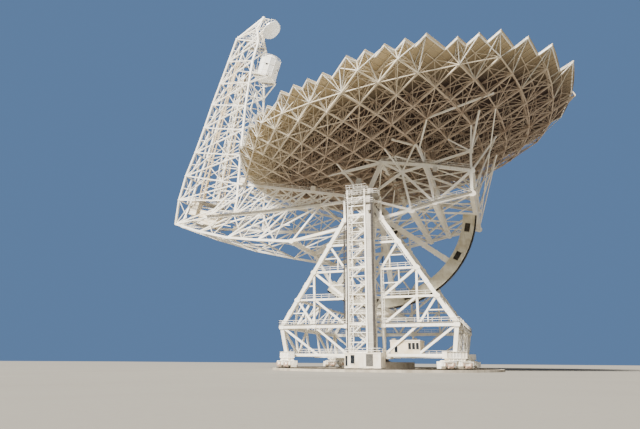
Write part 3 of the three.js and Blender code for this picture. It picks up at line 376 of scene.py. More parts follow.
def railing(points, height=1.1, spacing=2.2):
    """A handrail with a knee rail and posts, drawn twice too thick so that it shows."""
    made = []
    lift = UP * height
    for start, stop in pairs([Vector(point) for point in points]):
        made += [(start + lift, stop + lift, HANDRAIL), (start + lift / 2, stop + lift / 2, HANDRAIL)]
        posts = max(1, round((stop - start).length / spacing))
        feet = [along(start, stop, post / posts) for post in range(posts + 1)]
        made += [(foot, foot + lift, HANDRAIL) for foot in feet]
    return made


def deck(start, stop, width):
    """The floor plate of a walkway between two points, which may slope."""
    run = Vector(stop) - Vector(start)
    across = run.cross(UP).normalized()
    return (midpoint(start, stop), run.normalized(), across.cross(run).normalized(),
            (run.length, width, PLATE))


def rungs(low, high, across, width=0.55, step=0.9):
    """An upright ladder: two side rails and rungs, drawn twice too far apart so that they show."""
    half = Vector(across).normalized() * width / 2
    low, high = Vector(low), Vector(high)
    made = [(low - half, high - half, HANDRAIL), (low + half, high + half, HANDRAIL)]
    count = round((high - low).length / step)
    for rung in range(1, count):
        spot = along(low, high, rung / count)
        made.append((spot - half, spot + half, HANDRAIL))
    return made


def bar_tree():
    """Straight bars on the edges of a mesh, as wide as its width attribute says."""
    tree, given = new_tree("Bars between joints", {"Sides": "Int", "Finish": "Material"})
    lines = add_node(tree, "GeometryNodeMeshToCurve", {"Mesh": given["Base"]})
    upright = add_node(tree, "GeometryNodeSetCurveNormal", {"Curve": lines.outputs[0]}, mode="Z_UP")
    spin, radius = corner_radius(tree, given["Sides"])
    ring = add_node(tree, "GeometryNodeCurvePrimitiveCircle", {"Resolution": given["Sides"],
                                                               "Radius": radius})
    section = add_node(tree, "GeometryNodeTransform", {"Geometry": ring.outputs[0], "Rotation": spin})
    width = add_node(tree, "GeometryNodeInputNamedAttribute", {"Name": "width"}, data_type="FLOAT")
    swept = add_node(tree, "GeometryNodeCurveToMesh", {
        "Curve": upright.outputs[0], "Profile Curve": section.outputs[0], "Scale": width.outputs[0],
        "Fill Caps": True})
    return end_tree(tree, swept.outputs[0], given["Finish"])


BARS = bar_tree()


def bars(name, members, material, ride, sides=4):
    """Straight bars, each from one end to the other with its width, in real metres."""
    mesh = bpy.data.meshes.new(name)
    ends = [[value * MODEL for value in end] for member in members for end in member[:2]]
    mesh.from_pydata(ends, [(2 * place, 2 * place + 1) for place in range(len(members))], [])
    widths = mesh.attributes.new("width", "FLOAT", "POINT")
    widths.data.foreach_set("value", [member[2] * MODEL for member in members for end in (0, 1)])
    return mounted(grown(name, mesh, BARS, {"Sides": sides, "Finish": material}), ride)


plates = []
for corner in CORNERS:
    for face in SIDES:
        spot, radial, tangent = at_corner(corner, 0, 0, GIRDER_Z + face * GIRDER_WIDTH / 2)
        plates.append((spot, radial, UP, (GIRDER_WIDTH + 2 * GIRDER_FLANGE_PROUD, GIRDER_LENGTH + 0.1,
                                          PLATE)))
    for step in range(DIAPHRAGMS):
        place = (step / (DIAPHRAGMS - 1) - 0.5) * (GIRDER_LENGTH - 0.1)
        spot = at_corner(corner, 0, place, GIRDER_Z)[0]
        plates.append((spot, radial, UP, (GIRDER_WIDTH + 0.2, PLATE, GIRDER_WIDTH)))
ring = [Vector((side_x * RING_EDGE, side_y * RING_EDGE, RING_FLOOR)) for side_x, side_y in CORNERS]
ring.append(ring[0])
rails = railing(ring)
decks = []
for start, stop in pairs(ring):
    inward = -midpoint(start, stop).normalized() * WALK_WIDTH / 2
    inward.z = 0
    decks.append(deck(start + inward, stop + inward, WALK_WIDTH))
for side in SIDES:
    rails += railing([(x, side * BASE_BEAM, BASE_FLOOR) for x in (-19, -6)])
    rails += railing([(side * BASE_BEAM, y, BASE_FLOOR) for y in (-19, 19)])
    rails += railing([(x, side * 0.5, BASE_FLOOR + 0.1) for x in (-20, 20)])
prisms("base_girder_plates", plates, 4, white_paint, ON_BASE)
prisms("base_walkway_decks", decks, 4, grating, ON_BASE)
bars("base_handrails", rails, white_paint, ON_BASE)

# A-frames: legs, posts and braces are welded boxes and tubes, joined on site through eight-sided
# gusset plates on both faces. Splice sleeves close the joints halfway along the legs.
SECOND_Z = 18.9
THIRD_Z = 26.5
FOURTH_Z = 33.9
FIFTH_Z = 41
LEG_TOP = 46.2
APEX_Z = 49.3
MID_X = 14.2
POST_X = 4.9
LEVELS = (RING_Z, SECOND_Z, THIRD_Z, FOURTH_Z, FIFTH_Z)
BRACES = ((RING_Z, SECOND_Z, MID_X), (SECOND_Z, THIRD_Z, MID_X), (THIRD_Z, FOURTH_Z, POST_X))
LEG = 1.0
POST = 0.6
SLEEVE = (1.14, 1.14, 1.5)
SLEEVE_SHARE = 0.52
THIN_STRUT = 0.26
GUSSET_SHARE = 0.62
GUSSET_HEIGHT = 0.84
LADDER_OUT = 0.75
CABLE = 0.12
CABLE_GAP = 0.2
# Sheathed cables in flat bundles: black rubber gone grey with dust
cable_rubber = coated("dusty_cable_sheath", "#2E2A28", "#4A443E", 0.8, blotch=0.8)


def leg_x(height):
    """How far out a leg's centre line is at a height."""
    return RING_HALF * (APEX_Z - height) / (APEX_Z - RING_Z)


def gussets(spot, size, thick, out=RIGHT, face=AHEAD):
    """Two plates on the opposite faces of a joint, so far from its middle as half its members."""
    spot = Vector(spot)
    wide = size * GUSSET_SHARE
    return [(spot + face * side * (thick / 2 + PLATE / 2), out, face, (wide, wide * GUSSET_HEIGHT, PLATE))
            for side in SIDES]


joints = []
sleeves = []
struts = []
rails = []
cables = []
for y in (-RING_HALF, RING_HALF):
    outward = math.copysign(LADDER_OUT, y)
    for side in SIDES:
        leg = [Vector((side * leg_x(level), y, level)) for level in LEVELS + (LEG_TOP,)]
        for spot in leg[:-1]:
            joints += gussets(spot, 2.5, LEG)
        for foot, head in pairs(leg):
            run = (head - foot).normalized()
            sleeves.append((along(foot, head, SLEEVE_SHARE), AHEAD, run, SLEEVE))
        for x, level, size, thick in ((MID_X, RING_Z, 2.3, LEG), (POST_X, RING_Z, 2.1, LEG),
                                      (MID_X, SECOND_Z, 1.7, POST), (POST_X, SECOND_Z, 1.7, POST),
                                      (POST_X, THIRD_Z, 1.7, POST)):
            joints += gussets((side * x, y, level), size, thick)
        for low, high, foot_x in BRACES:
            level = (low + high) / 2
            knee = midpoint((side * leg_x(high), y, high), (side * foot_x, y, low))
            struts.append(((side * leg_x(level), y, level), knee, THIN_STRUT))
            struts.append((knee, (knee.x, y, low), THIN_STRUT))
        knee = midpoint((side * leg_x(THIRD_Z), y, THIRD_Z), (side * POST_X, y, SECOND_Z))
        struts.append((knee, (side * POST_X, y, knee.z), THIN_STRUT))
        struts.append((knee, (knee.x, y, THIRD_Z), THIN_STRUT))
        joints += gussets(knee, 1.2, 0.65)
    for level, thick in ((RING_Z, LEG), (SECOND_Z, POST), (FOURTH_Z, POST)):
        joints += gussets((0, y, level), 1.8, thick)
    for level in LEVELS[1:]:
        reach = leg_x(level) - 0.6
        rails += railing([(end * reach, y + outward / 2, level + 0.28) for end in SIDES])
    rails += rungs(*[(POST_X + 0.5, y + outward, level) for level in (RING_Z, THIRD_Z)], RIGHT)
    for lower, upper in pairs([(leg_x(level) - LADDER_OUT, y + outward, level) for level in LEVELS[2:]]):
        rails += rungs(lower, upper, RIGHT)
    for shift in (-CABLE_GAP, 0, CABLE_GAP):
        cables += chain([(x + shift, y + outward * 0.6, level) for x, level in (
            (-POST_X - 0.45, RING_Z), (-POST_X - 0.45, THIRD_Z), (-leg_x(FIFTH_Z), FIFTH_Z))], CABLE)
prisms("frame_gussets", joints, 8, white_paint, ON_BASE)
prisms("frame_leg_sleeves", sleeves, 4, white_paint, ON_BASE)
bars("frame_secondary_struts", struts, white_paint, ON_BASE)
bars("frame_ladders_and_rails", rails, white_paint, ON_BASE)
bars("frame_cable_runs", cables, cable_rubber, ON_BASE, 6)

# Braced sides between the A-frames: tubes pinned between beams, with gussets at the beams and a
# stair in flights from the base beam to the ring walkway on the side away from the feed arm.
SIDE_ROWS = (-RING_HALF, -MID_X, -POST_X, POST_X, MID_X, RING_HALF)
RING_STRUT_X = 22.567
STAIR_X = 24.4
STAIR_WIDTH = 0.9
STAIR_POSTS_X = STAIR_X - 0.6
STAIR_FLIGHTS = ((-20, -16, 4.6, 7.0), (-16, -20, 7.0, 9.4), (-20, -16, 9.4, 12.1))
STRING = 0.22
TREAD_RISE = 0.3
TREAD_DEPTH = 0.3
TREAD_THICK = 0.06


def block(x, y, z, size):
    """A box that stands square to the ground, with its middle at a place in the row frame."""
    return (x, y, z), RIGHT, UP, size


def side_spot(side, y, level):
    """A place on a braced side, which leans in above the ring beam."""
    return Vector((side * (TRUCK_HALF if level == BASE_Z else leg_x(level)), y, level))


def flight(low, high, width, across):
    """One flight of stairs: two strings, treads as far apart as they show, and a handrail a side."""
    low, high = Vector(low), Vector(high)
    members = []
    for edge in (across * -width / 2, across * width / 2):
        members += [(low + edge, high + edge, STRING), (low + edge + UP, high + edge + UP, HANDRAIL)]
        posts = [along(low, high, share) + edge for share in (0, 0.33, 0.67, 1)]
        members += [(foot, foot + UP, HANDRAIL) for foot in posts]
    count = round((high.z - low.z) / TREAD_RISE)
    run = (high - low).normalized()
    out = Vector((run.x, run.y, 0)).normalized()
    treads = [(along(low, high, (step + 0.5) / count), out, UP, (TREAD_DEPTH, width, TREAD_THICK))
              for step in range(count)]
    return members, treads


joints = []
struts = []
rails = []
treads = []
for side in SIDES:
    for y in SIDE_ROWS[1:-1]:
        for level, size, thick in ((RING_Z, 2.1, LEG), (SECOND_Z, 1.6, POST), (BASE_Z, 1.5, 0.74)):
            joints += gussets(side_spot(side, y, level), size, thick, AHEAD, RIGHT)
    for first, last in ((0, 1), (2, 1), (3, 4), (5, 4)):
        knee = midpoint(side_spot(side, SIDE_ROWS[first], SECOND_Z), side_spot(side, SIDE_ROWS[last], RING_Z))
        struts.append((knee, side_spot(side, SIDE_ROWS[last], (RING_Z + SECOND_Z) / 2), THIN_STRUT))
        struts.append((knee, side_spot(side, knee.y, SECOND_Z), THIN_STRUT))
    posts = [[side_spot(side, y, level) for level in (RING_Z, SECOND_Z)] for y in (-POST_X, POST_X)]
    struts += crossed(*posts, 1, THIN_STRUT)
    rails += railing([side_spot(side, SIDE_ROWS[end], RING_Z) + UP * 0.52 for end in (0, -1)])
    struts += [((side * RING_HALF, low_y, RING_Z), (side * RING_STRUT_X, high_y, RING_Z), THIN_STRUT)
               for low_y, high_y in pairs(SIDE_ROWS)]
for start, stop, low, high in STAIR_FLIGHTS:
    members, steps = flight((STAIR_X, start, low), (STAIR_X, stop, high), STAIR_WIDTH, RIGHT)
    struts += members
    treads += steps
    treads.append(block(STAIR_X, stop + math.copysign(0.5, stop - start), high, (1.0, 1.1, 0.1)))
struts += [((STAIR_POSTS_X, y, BASE_Z), (STAIR_POSTS_X, y, RING_Z), 0.16) for y in (-20.6, -15.4)]
prisms("side_gussets", joints, 8, white_paint, ON_BASE)
bars("side_struts_and_stair", struts, white_paint, ON_BASE)
bars("side_handrails", rails, white_paint, ON_BASE)
prisms("side_stair_treads", treads, 4, grating, ON_BASE)

# Elevation drive: a gearbox on the cross girders under the gear sector, with four motors, their
# brakes, and two pinions that reach up to the rack. A grating floor and rails lie round it.
DRIVE_Z = 16.2
DRIVE_FLOOR = 16.65
DRIVE_HALF = 9
GIRDER_END = 23
MOTOR_X = 3.5
MOTOR_Z = 17.1
MOTOR_ROW = 1.05
COUPLING_X = 2.7
BRAKE_X = 4.45
FOOT_Z = 16.62
MOTOR = (0.9, 0.9, 1.7)
COUPLING = (0.5, 0.5, 0.4)
BRAKE_DISC = (0.75, 0.75, 0.16)
MOTOR_FOOT = (1.5, 0.8, 0.14)
PINION = (1.1, 1.1, 0.8)
PINION_X = 1.35
PINION_Z = 17.3
painted(["elevation_drive"], drive_enamel)
motors = []
discs = []
feet = []
girder_braces = []
for side in SIDES:
    for row in (-MOTOR_ROW, MOTOR_ROW):
        motors.append(((side * MOTOR_X, row, MOTOR_Z), UP, RIGHT, MOTOR))
        motors.append(((side * COUPLING_X, row, MOTOR_Z), UP, RIGHT, COUPLING))
        discs.append(((side * BRAKE_X, row, MOTOR_Z), UP, RIGHT, BRAKE_DISC))
        feet.append(block(side * MOTOR_X, row, FOOT_Z, MOTOR_FOOT))
    discs.append(((side * PINION_X, 0, PINION_Z), UP, AHEAD, PINION))
    end, middle, centre = [[(x, side * y, DRIVE_Z) for x in (-POST_X, POST_X)]
                           for y in (GIRDER_END, DRIVE_HALF, 0)]
    girder_braces += laced((middle[0], end[0]), (middle[1], end[1]), 3, THIN_STRUT)
    girder_braces += crossed((centre[0], middle[0]), (centre[1], middle[1]), 1, THIN_STRUT)
floors = [deck((-POST_X, row, DRIVE_FLOOR), (POST_X, row, DRIVE_FLOOR), WALK_WIDTH) for row in (-2.6, 2.6)]
floors += [deck((x, -DRIVE_HALF, DRIVE_FLOOR), (x, DRIVE_HALF, DRIVE_FLOOR), WALK_WIDTH)
           for x in (-POST_X, POST_X)]
edge = [(side_x * POST_X, side_y * DRIVE_HALF, DRIVE_FLOOR) for side_x, side_y in CORNERS]
prisms("drive_motors", motors, 12, drive_enamel, STEEL_ON_BASE)
prisms("drive_pinions_and_brakes", discs, 20, rail_steel, STEEL_ON_BASE)
prisms("drive_motor_feet", feet, 4, white_paint, ON_BASE)
prisms("drive_floor", floors, 4, grating, ON_BASE)
bars("drive_handrails", railing(edge + edge[:1]), white_paint, ON_BASE)
bars("drive_girder_braces", girder_braces, white_paint, ON_BASE)

# Elevation bearings: split cast housings bolted to seats on the A-frames, with a platform of
# grating on each side of them from which they are greased.
AXIS_HEIGHT = 48.3
BEARING_Y = 23.8
BEARING_FACE = 1.2
SPLIT_FLANGE = (0.5, 2.1, 0.26)
SPLIT_BOLT = (0.24, 0.24, 0.3)
COVER_BOLT = (0.2, 0.2, 0.14)
COVER_BOLTS = 16
COVER_RING = 1.6
PLATFORM_Z = 46.9
painted_all("bearing_", white_paint)
flanges = []
bolts = []
floors = []
rails = []
for side in SIDES:
    y = side * BEARING_Y
    for end in SIDES:
        flanges += [block(end * 2.3, y, AXIS_HEIGHT + face * 0.16, SPLIT_FLANGE) for face in SIDES]
        bolts += [block(end * 2.35, y + row, AXIS_HEIGHT + 0.42, SPLIT_BOLT) for row in (-0.7, 0, 0.7)]
        cover = Vector((0, y + end * (BEARING_FACE + 0.06), AXIS_HEIGHT))
        bolts += [(cover + away * COVER_RING, RIGHT, AHEAD, COVER_BOLT)
                  for away in spokes(COVER_BOLTS, RIGHT, UP)]
        for x, reach in ((2.9, 3.4), (4.4, 1.6)):
            floors.append(deck((end * x, y - side, PLATFORM_Z), (end * x, y + side * reach, PLATFORM_Z), 1.5))
        rails += railing([(end * x, y + side * out, PLATFORM_Z)
                          for x, out in ((2.2, -1), (5.1, -1), (5.1, 1.5), (3.6, 1.5))])
        rails.append(((end * leg_x(FIFTH_Z), y, FIFTH_Z), (end * 2.4, y, PLATFORM_Z - 1), THIN_STRUT))
prisms("bearing_split_flanges", flanges, 4, white_paint, ON_BASE)
prisms("bearing_bolts", bolts, 6, rail_steel, STEEL_ON_BASE)
prisms("bearing_platforms", floors, 4, grating, ON_BASE)
bars("bearing_handrails", rails, white_paint, ON_BASE)

# Lift and stair tower: an open frame of small angle steel with a stair in eighteen storeys, and a
# lift shaft clad in pressed sheet beside it. Dark cable trays are clamped up both of its edges.
TOWER_LEFT = -3.2
TOWER_RIGHT = 1.7
TOWER_FRONT = -27.9
TOWER_BACK = -25.9
TOWER_FOOT = 4.75
TOWER_TOP = 48.6
TOWER_BEAM = 0.2
TOWER_ANGLE = 0.12
STOREYS = 18
STOREY = (TOWER_TOP - TOWER_FOOT) / STOREYS
STAIR_LEFT = -1.8
STAIR_RIGHT = 1.1
STAIR_FRAME_X = STAIR_LEFT - 0.15
SHAFT = (1.97, 1.85)
SHAFT_MIDDLE = (2.935, -26.875)
SHAFT_TOP = 46.95
SHAFT_SEAM = 0.05
BRIDGE_X = 0.4
BRIDGE_EDGES = (-0.25, 1.05)
TOP_FLOORS = ((44.4, 4.2), (46.95, 5.3), (48.7, 2.2))
TOP_LEFT = -3.7
TOP_FRONT = -28.2
TRAYS = (block(3.6, -27.93, 25.9, (0.56, 0.3, 42.2)), block(-3.42, -28.05, 25.2, (0.34, 0.26, 41.5)))
TRAY_CLAMPS = 12
TRAY_CLAMP_STEP = 3.6
painted(["lift_tower"], white_paint)
# Pressed sheet on the lift shaft: grey-beige coil coating, faded in broad patches
shaft_sheet = coated("faded_grey_cladding", "#CBC5BA", "#AFA99D", 0.6, blotch=3.0)
members = []
rails = []
treads = []
sheets = []
for level in range(STOREYS + 1):
    z = TOWER_FOOT + level * STOREY
    corners = [(TOWER_LEFT, TOWER_FRONT), (TOWER_RIGHT, TOWER_FRONT), (TOWER_RIGHT, TOWER_BACK),
               (TOWER_LEFT, TOWER_BACK), (TOWER_LEFT, TOWER_FRONT)]
    members += chain([(x, y, z) for x, y in corners], TOWER_BEAM)
    if level == STOREYS:
        break
    top = z + STOREY
    members += crossed(*[((TOWER_LEFT, y, z), (TOWER_LEFT, y, top)) for y in (TOWER_FRONT, TOWER_BACK)],
                       1, TOWER_ANGLE)
    members.append(((STAIR_FRAME_X, TOWER_FRONT, z), (STAIR_FRAME_X, TOWER_FRONT, top), 0.14))
    members.append(((TOWER_LEFT, TOWER_FRONT, z), (STAIR_FRAME_X, TOWER_FRONT, top), TOWER_ANGLE))
    rightwards = level % 2 == 0
    row = TOWER_FRONT + (0.5 if rightwards else 1.5)
    start, stop = (STAIR_LEFT, STAIR_RIGHT) if rightwards else (STAIR_RIGHT, STAIR_LEFT)
    handrails, steps = flight((start, row, z + 0.1), (stop, row, top + 0.1), 0.85, AHEAD)
    rails += handrails
    treads += steps
    landing, depth = (STAIR_RIGHT + 0.25, 0.9) if rightwards else (STAIR_LEFT - 0.5, 1.6)
    treads.append(block(landing, (TOWER_FRONT + TOWER_BACK) / 2, top + 0.1, (depth, 2.0, 0.1)))
    rails += railing([(TOWER_LEFT, TOWER_FRONT, z + 0.1), (STAIR_LEFT, TOWER_FRONT, z + 0.1)])
    low, high = z + SHAFT_SEAM, min(top - SHAFT_SEAM, SHAFT_TOP)
    sheets.append(block(*SHAFT_MIDDLE, (low + high) / 2, (*SHAFT, high - low)))
for level in LEVELS[1:]:
    bridge = [Vector((0, y, level + 0.3)) for y in (TOWER_BACK + 0.1, -RING_HALF - 0.3)]
    treads.append(deck(*[spot + RIGHT * BRIDGE_X for spot in bridge], 1.2))
    for x in BRIDGE_EDGES:
        rails += railing([spot + RIGHT * x for spot in bridge])
for z, right in TOP_FLOORS:
    treads.append(deck((TOP_LEFT, -27, z), (right, -27, z), 2.5))
    rails += railing([(TOP_LEFT, -25.8, z), (TOP_LEFT, TOP_FRONT, z), (right, TOP_FRONT, z),
                      (right, -25.8, z)], 1.2, 1.1)
    members += [((x, -28.1, z - 0.1), (x, -28.1, z - 1.1), 0.14) for x in (-3.1, TOWER_RIGHT)]
clamps = [block(3.6, -27.85, 5.5 + TRAY_CLAMP_STEP * step, (0.8, 0.3, 0.14)) for step in range(TRAY_CLAMPS)]
hoists = [block(2.9, -26.9, 47.9, (1.7, 1.6, 1.5)), block(3.0, -28.3, 42.6, (0.9, 0.8, 1.1))]
bars("tower_frame_members", members, white_paint, ON_BASE)
bars("tower_stairs_and_rails", rails, white_paint, ON_BASE)
prisms("tower_treads_and_landings", treads, 4, grating, ON_BASE)
prisms("lift_shaft_cladding", sheets, 4, shaft_sheet, ON_BASE)
prisms("tower_cable_guide", TRAYS, 4, cable_rubber, ON_BASE)
prisms("tower_cable_clamps", clamps, 4, rail_steel, STEEL_ON_BASE)
prisms("tower_hoist_housings", hoists, 8, shaft_sheet, STEEL_ON_BASE)

# Cabin at the tower's foot and the equipment room beside it: sheet-clad steel frames with doors,
# glazed and louvred panels, roof trims and the short steps to the ground.
CABIN_FRONT = -28.4
CABIN_TOP = 4.6
ROOM_FRONT = -23
CABIN_DOOR = (-4.05, -3.35, 1.3, 3.9)
CABIN_WINDOW = (-2.65, -1.5, 1.9, 4.1)
ROOM_WINDOWS = [(left, left + 0.85, 5.5, 7.2) for left in (11.15, 12.15, 13.15)]
ROOM_DOOR = (7.6, 8.5, 4.75, 6.9)
LOUVRE_X = 2.3
LOUVRES = 12
LOUVRE_STEP = 0.24
CABIN_STEPS = 3
# Coil-coated wall sheet: warm white with faint dirt under the roof edge
wall_sheet = coated("coil_coated_wall_sheet", "#F2EADB", "#DCCFB6", 0.5, blotch=2.0)
# The same sheet in cream on the equipment room
cream_sheet = coated("cream_coated_wall_sheet", "#EADCC2", "#D6C5A3", 0.55, blotch=1.8)
# Nearly black panels in the cabins' openings: tinted glass in the windows, painted recess shade in the
# doorways and behind the louvres, with a clear reflection
glass_and_recess_shade = coated("glass_and_painted_recess_shade", "#1D2126", "#2A2C2E", 0.14, blotch=1.0)
painted(["tower_cabin"], wall_sheet)
painted(["equipment_room"], cream_sheet)


def framed(left, right, bottom, top, front):
    """A dark opening, a nearly black panel for glass and the shade of its recess, and the pale frame round
    it, on a wall that faces the front.
    """
    x, z = (left + right) / 2, (bottom + top) / 2
    opening = block(x, front - 0.03, z, (right - left, 0.05, top - bottom))
    border = [block(edge, front - 0.05, z, (0.09, 0.12, top - bottom + 0.09)) for edge in (left, right)]
    border += [block(x, front - 0.05, edge, (right - left, 0.12, 0.09)) for edge in (bottom, top)]
    return opening, border


# A nearly black panel behind the louvres, painted as the shade inside them
dark = [block(LOUVRE_X, CABIN_FRONT - 0.02, 2.8, (1.8, 0.05, 2.9))]
pale = [block(0.37, CABIN_FRONT - 0.05, 2.7, (2.05, 0.12, 3.2)),
        block(4.15, CABIN_FRONT - 0.04, 2.75, (0.08, 0.1, 3.5)),
        block(5.15, CABIN_FRONT - 0.04, 2.75, (0.08, 0.1, 3.5)),
        block(0.5, CABIN_FRONT + 0.02, CABIN_TOP - 0.12, (9.6, 0.2, 0.3)),
        block(0.5, CABIN_FRONT + 0.02, 0.98, (9.5, 0.16, 0.22)),
        block(10.4, ROOM_FRONT - 0.03, 7.62, (7.7, 0.14, 0.24)),
        block(10.4, -19, 7.78, (7.8, 8.2, 0.14))]
for front, openings in ((CABIN_FRONT, [CABIN_DOOR, CABIN_WINDOW]), (ROOM_FRONT, ROOM_WINDOWS + [ROOM_DOOR])):
    for opening in openings:
        hole, border = framed(*opening, front)
        dark.append(hole)
        pale += border
slats = [((LOUVRE_X, CABIN_FRONT - 0.08, 1.5 + slat * LOUVRE_STEP), RIGHT, (0, -0.5, 1), (1.8, 0.16, 0.04))
         for slat in range(LOUVRES)]
steps = [block(x, -25.8, 0.72, (0.3, 4.6, 0.36)) for x in (-4, -1, 2, 5)]
steps += [block(-3.7, CABIN_FRONT - 0.25 - 0.3 * step, 0.85 - 0.27 * step, (1.1, 0.3, 0.08))
          for step in range(CABIN_STEPS)]
steps += [block(x, -20.5, 8.1, (1.0, 1.4, 0.6)) for x in (7.1, 9.3, 12.6)]
roof_edge = [(-4.1, -28.2, CABIN_TOP), (5.1, -28.2, CABIN_TOP), (5.1, -23.4, CABIN_TOP)]
prisms("cabin_openings", dark, 4, glass_and_recess_shade, ON_BASE)
prisms("cabin_frames_and_trims", pale, 4, wall_sheet, ON_BASE)
prisms("cabin_louvres", slats, 4, grating, ON_BASE)
prisms("cabin_feet_steps_and_vents", steps, 4, grating, ON_BASE)
bars("cabin_roof_rail", railing(roof_edge), white_paint, ON_BASE)

# Elevation shaft: one forged shaft in halves, keyed into the box at its eyes. Ribbed collars hold
# it where it passes through the two side trusses.
ON_TIP = ("tipping_structure", "white_paint")
STEEL_ON_TIP = ("tipping_structure", "bare_steel")
AXIS_X = 54.34
AXIS_Z = -5
REST_TILT = math.radians(15.64)
LEAN_X = Vector((math.cos(REST_TILT), 0, -math.sin(REST_TILT)))
LEAN_UP = Vector((math.sin(REST_TILT), 0, math.cos(REST_TILT)))
BOX_Y = 20
EYE_FACE = 0.86
EYE_COLLAR = (3.6, 3.6, 0.12)
SHAFT_COLLAR = (2.5, 2.5, 0.3)
SHAFT_COLLARS = (2.2, 6.5, 11, 15.5)
painted(["elevation_shaft"], rail_steel)


def on_row(x, y, z):
    """From the paraboloid's own axes to the row frame, in real metres."""
    return LEAN_X * (x - AXIS_X) + Vector((0, y, AXIS_HEIGHT)) + LEAN_UP * (z - AXIS_Z)


def tilted(x, y, z, size):
    """A box that tips with the dish, with its middle at a place in the paraboloid's axes."""
    return on_row(x, y, z), LEAN_X, LEAN_UP, size


collars = []
for side in SIDES:
    places = [(side * BOX_Y + face * EYE_FACE, EYE_COLLAR) for face in SIDES]
    places += [(side * y, SHAFT_COLLAR) for y in SHAFT_COLLARS]
    collars += [((0, y, AXIS_HEIGHT), RIGHT, AHEAD, size) for y, size in places]
prisms("shaft_collars", collars, 24, rail_steel, STEEL_ON_TIP)

# Back-up lattice: round and square tubes bolted at cast nodes into a double layer under the
# surface. Ribs fan out from the low edge, hoops cross them, and webs tie the two layers.
ON_DISH = ("tipping_structure", "panel_paint")
FOCAL_LENGTH = 60
APERTURE_X = 54
APERTURE_RADIUS = 50
HOOP_START = 4
HOOP_STEP = 6.25
HOOPS = 16
RIB_STEP = math.radians(4.8)
RIB_REACH = 15
DEPTH_RIM = 2.2
DEPTH_CENTRE = 8.2
SIDE_WEIGHT = 0.75
TOP_CHORD_DEPTH = 0.5
TOP_CHORD = 0.3
LOW_CHORD = 0.34
WEB = 0.2
CROSSING_WEB = 0.16
STAR_ROD = 0.13
STAR_REACH = 0.985
LATTICE_NODE = 0.62
LATTICE_NODE_REACH = 0.9
# Painted light: finishes lighten between these distances from a centre of painted shade under the dish
RIM_LIGHT_FROM = 48
RIM_LIGHT_TO = 62
SHADE_X = 64
SHADE_Y = 12
SHADE_Z = 12.15
# Zinc-coated tube in cream paint, darkened to a brown-beige as painted shade under the dish, warm ivory at
# the near rim as painted light
tube_paint = coated("painted_shade_ivory_tube_paint", "#C6B5A2", "#A18C7A", 0.55, blotch=4.0)


def lit_at_near_rim(material, rim_light_code):
    """Lightens a finish towards another colour at the near rim: painted light where low sun gets in."""
    tree = material.node_tree
    base = tree.nodes["Principled BSDF"].inputs["Base Color"]
    place = add_node(tree, "ShaderNodeTexCoord").outputs["Object"]
    shade = on_row(SHADE_X, SHADE_Y, SHADE_Z) * MODEL
    gap = add_node(tree, "ShaderNodeVectorMath", {0: place, 1: shade}, operation="DISTANCE")
    share = between(tree, gap.outputs["Value"], RIM_LIGHT_FROM * MODEL, RIM_LIGHT_TO * MODEL)
    tree.links.new(blend(tree, share, base.links[0].from_socket, colour(rim_light_code)), base)
    return material


def on_dish(radius, angle, depth):
    """A point so far under the reflecting surface, square to it, in the row frame."""
    slope = radius / (2 * FOCAL_LENGTH)
    drop = depth / math.hypot(1, slope)
    reach = radius + slope * drop
    return on_row(reach * math.cos(angle), reach * math.sin(angle),
                  radius * radius / (4 * FOCAL_LENGTH) - drop)


def share_of_aperture(radius, angle, side_weight=1):
    """How far a point of the dish is from the aperture's centre, as a share of its radius."""
    return math.hypot(radius * math.cos(angle) - APERTURE_X,
                      radius * math.sin(angle) * side_weight) / APERTURE_RADIUS


def hoop_radius(hoop):
    """The distance of a hoop from the paraboloid's axis."""
    return HOOP_START + hoop * HOOP_STEP


def lattice_share(place):
    """How far out a place of the lattice is, a hoop and a rib, as a share of the aperture's radius."""
    return share_of_aperture(hoop_radius(place[0]), place[1] * RIB_STEP)


def low_node(hoop, rib):
    """A node of the lower layer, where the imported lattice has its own."""
    radius, angle = hoop_radius(hoop), rib * RIB_STEP
    inner = 1 - min(1, share_of_aperture(radius, angle, SIDE_WEIGHT)) ** 2
    depth = DEPTH_RIM + (DEPTH_CENTRE - DEPTH_RIM) * inner
    return on_dish(radius, angle, depth / math.hypot(1, radius / (2 * FOCAL_LENGTH)))


def top_node(hoop, rib):
    """A node of the upper layer, close under the panels."""
    return on_dish(hoop_radius(hoop), rib * RIB_STEP, TOP_CHORD_DEPTH)


def rib_stride(hoop):
    """Ribs thin out towards the low edge, where they run together."""
    if hoop < 2:
        return 6
    return 3 if hoop < 5 else 1


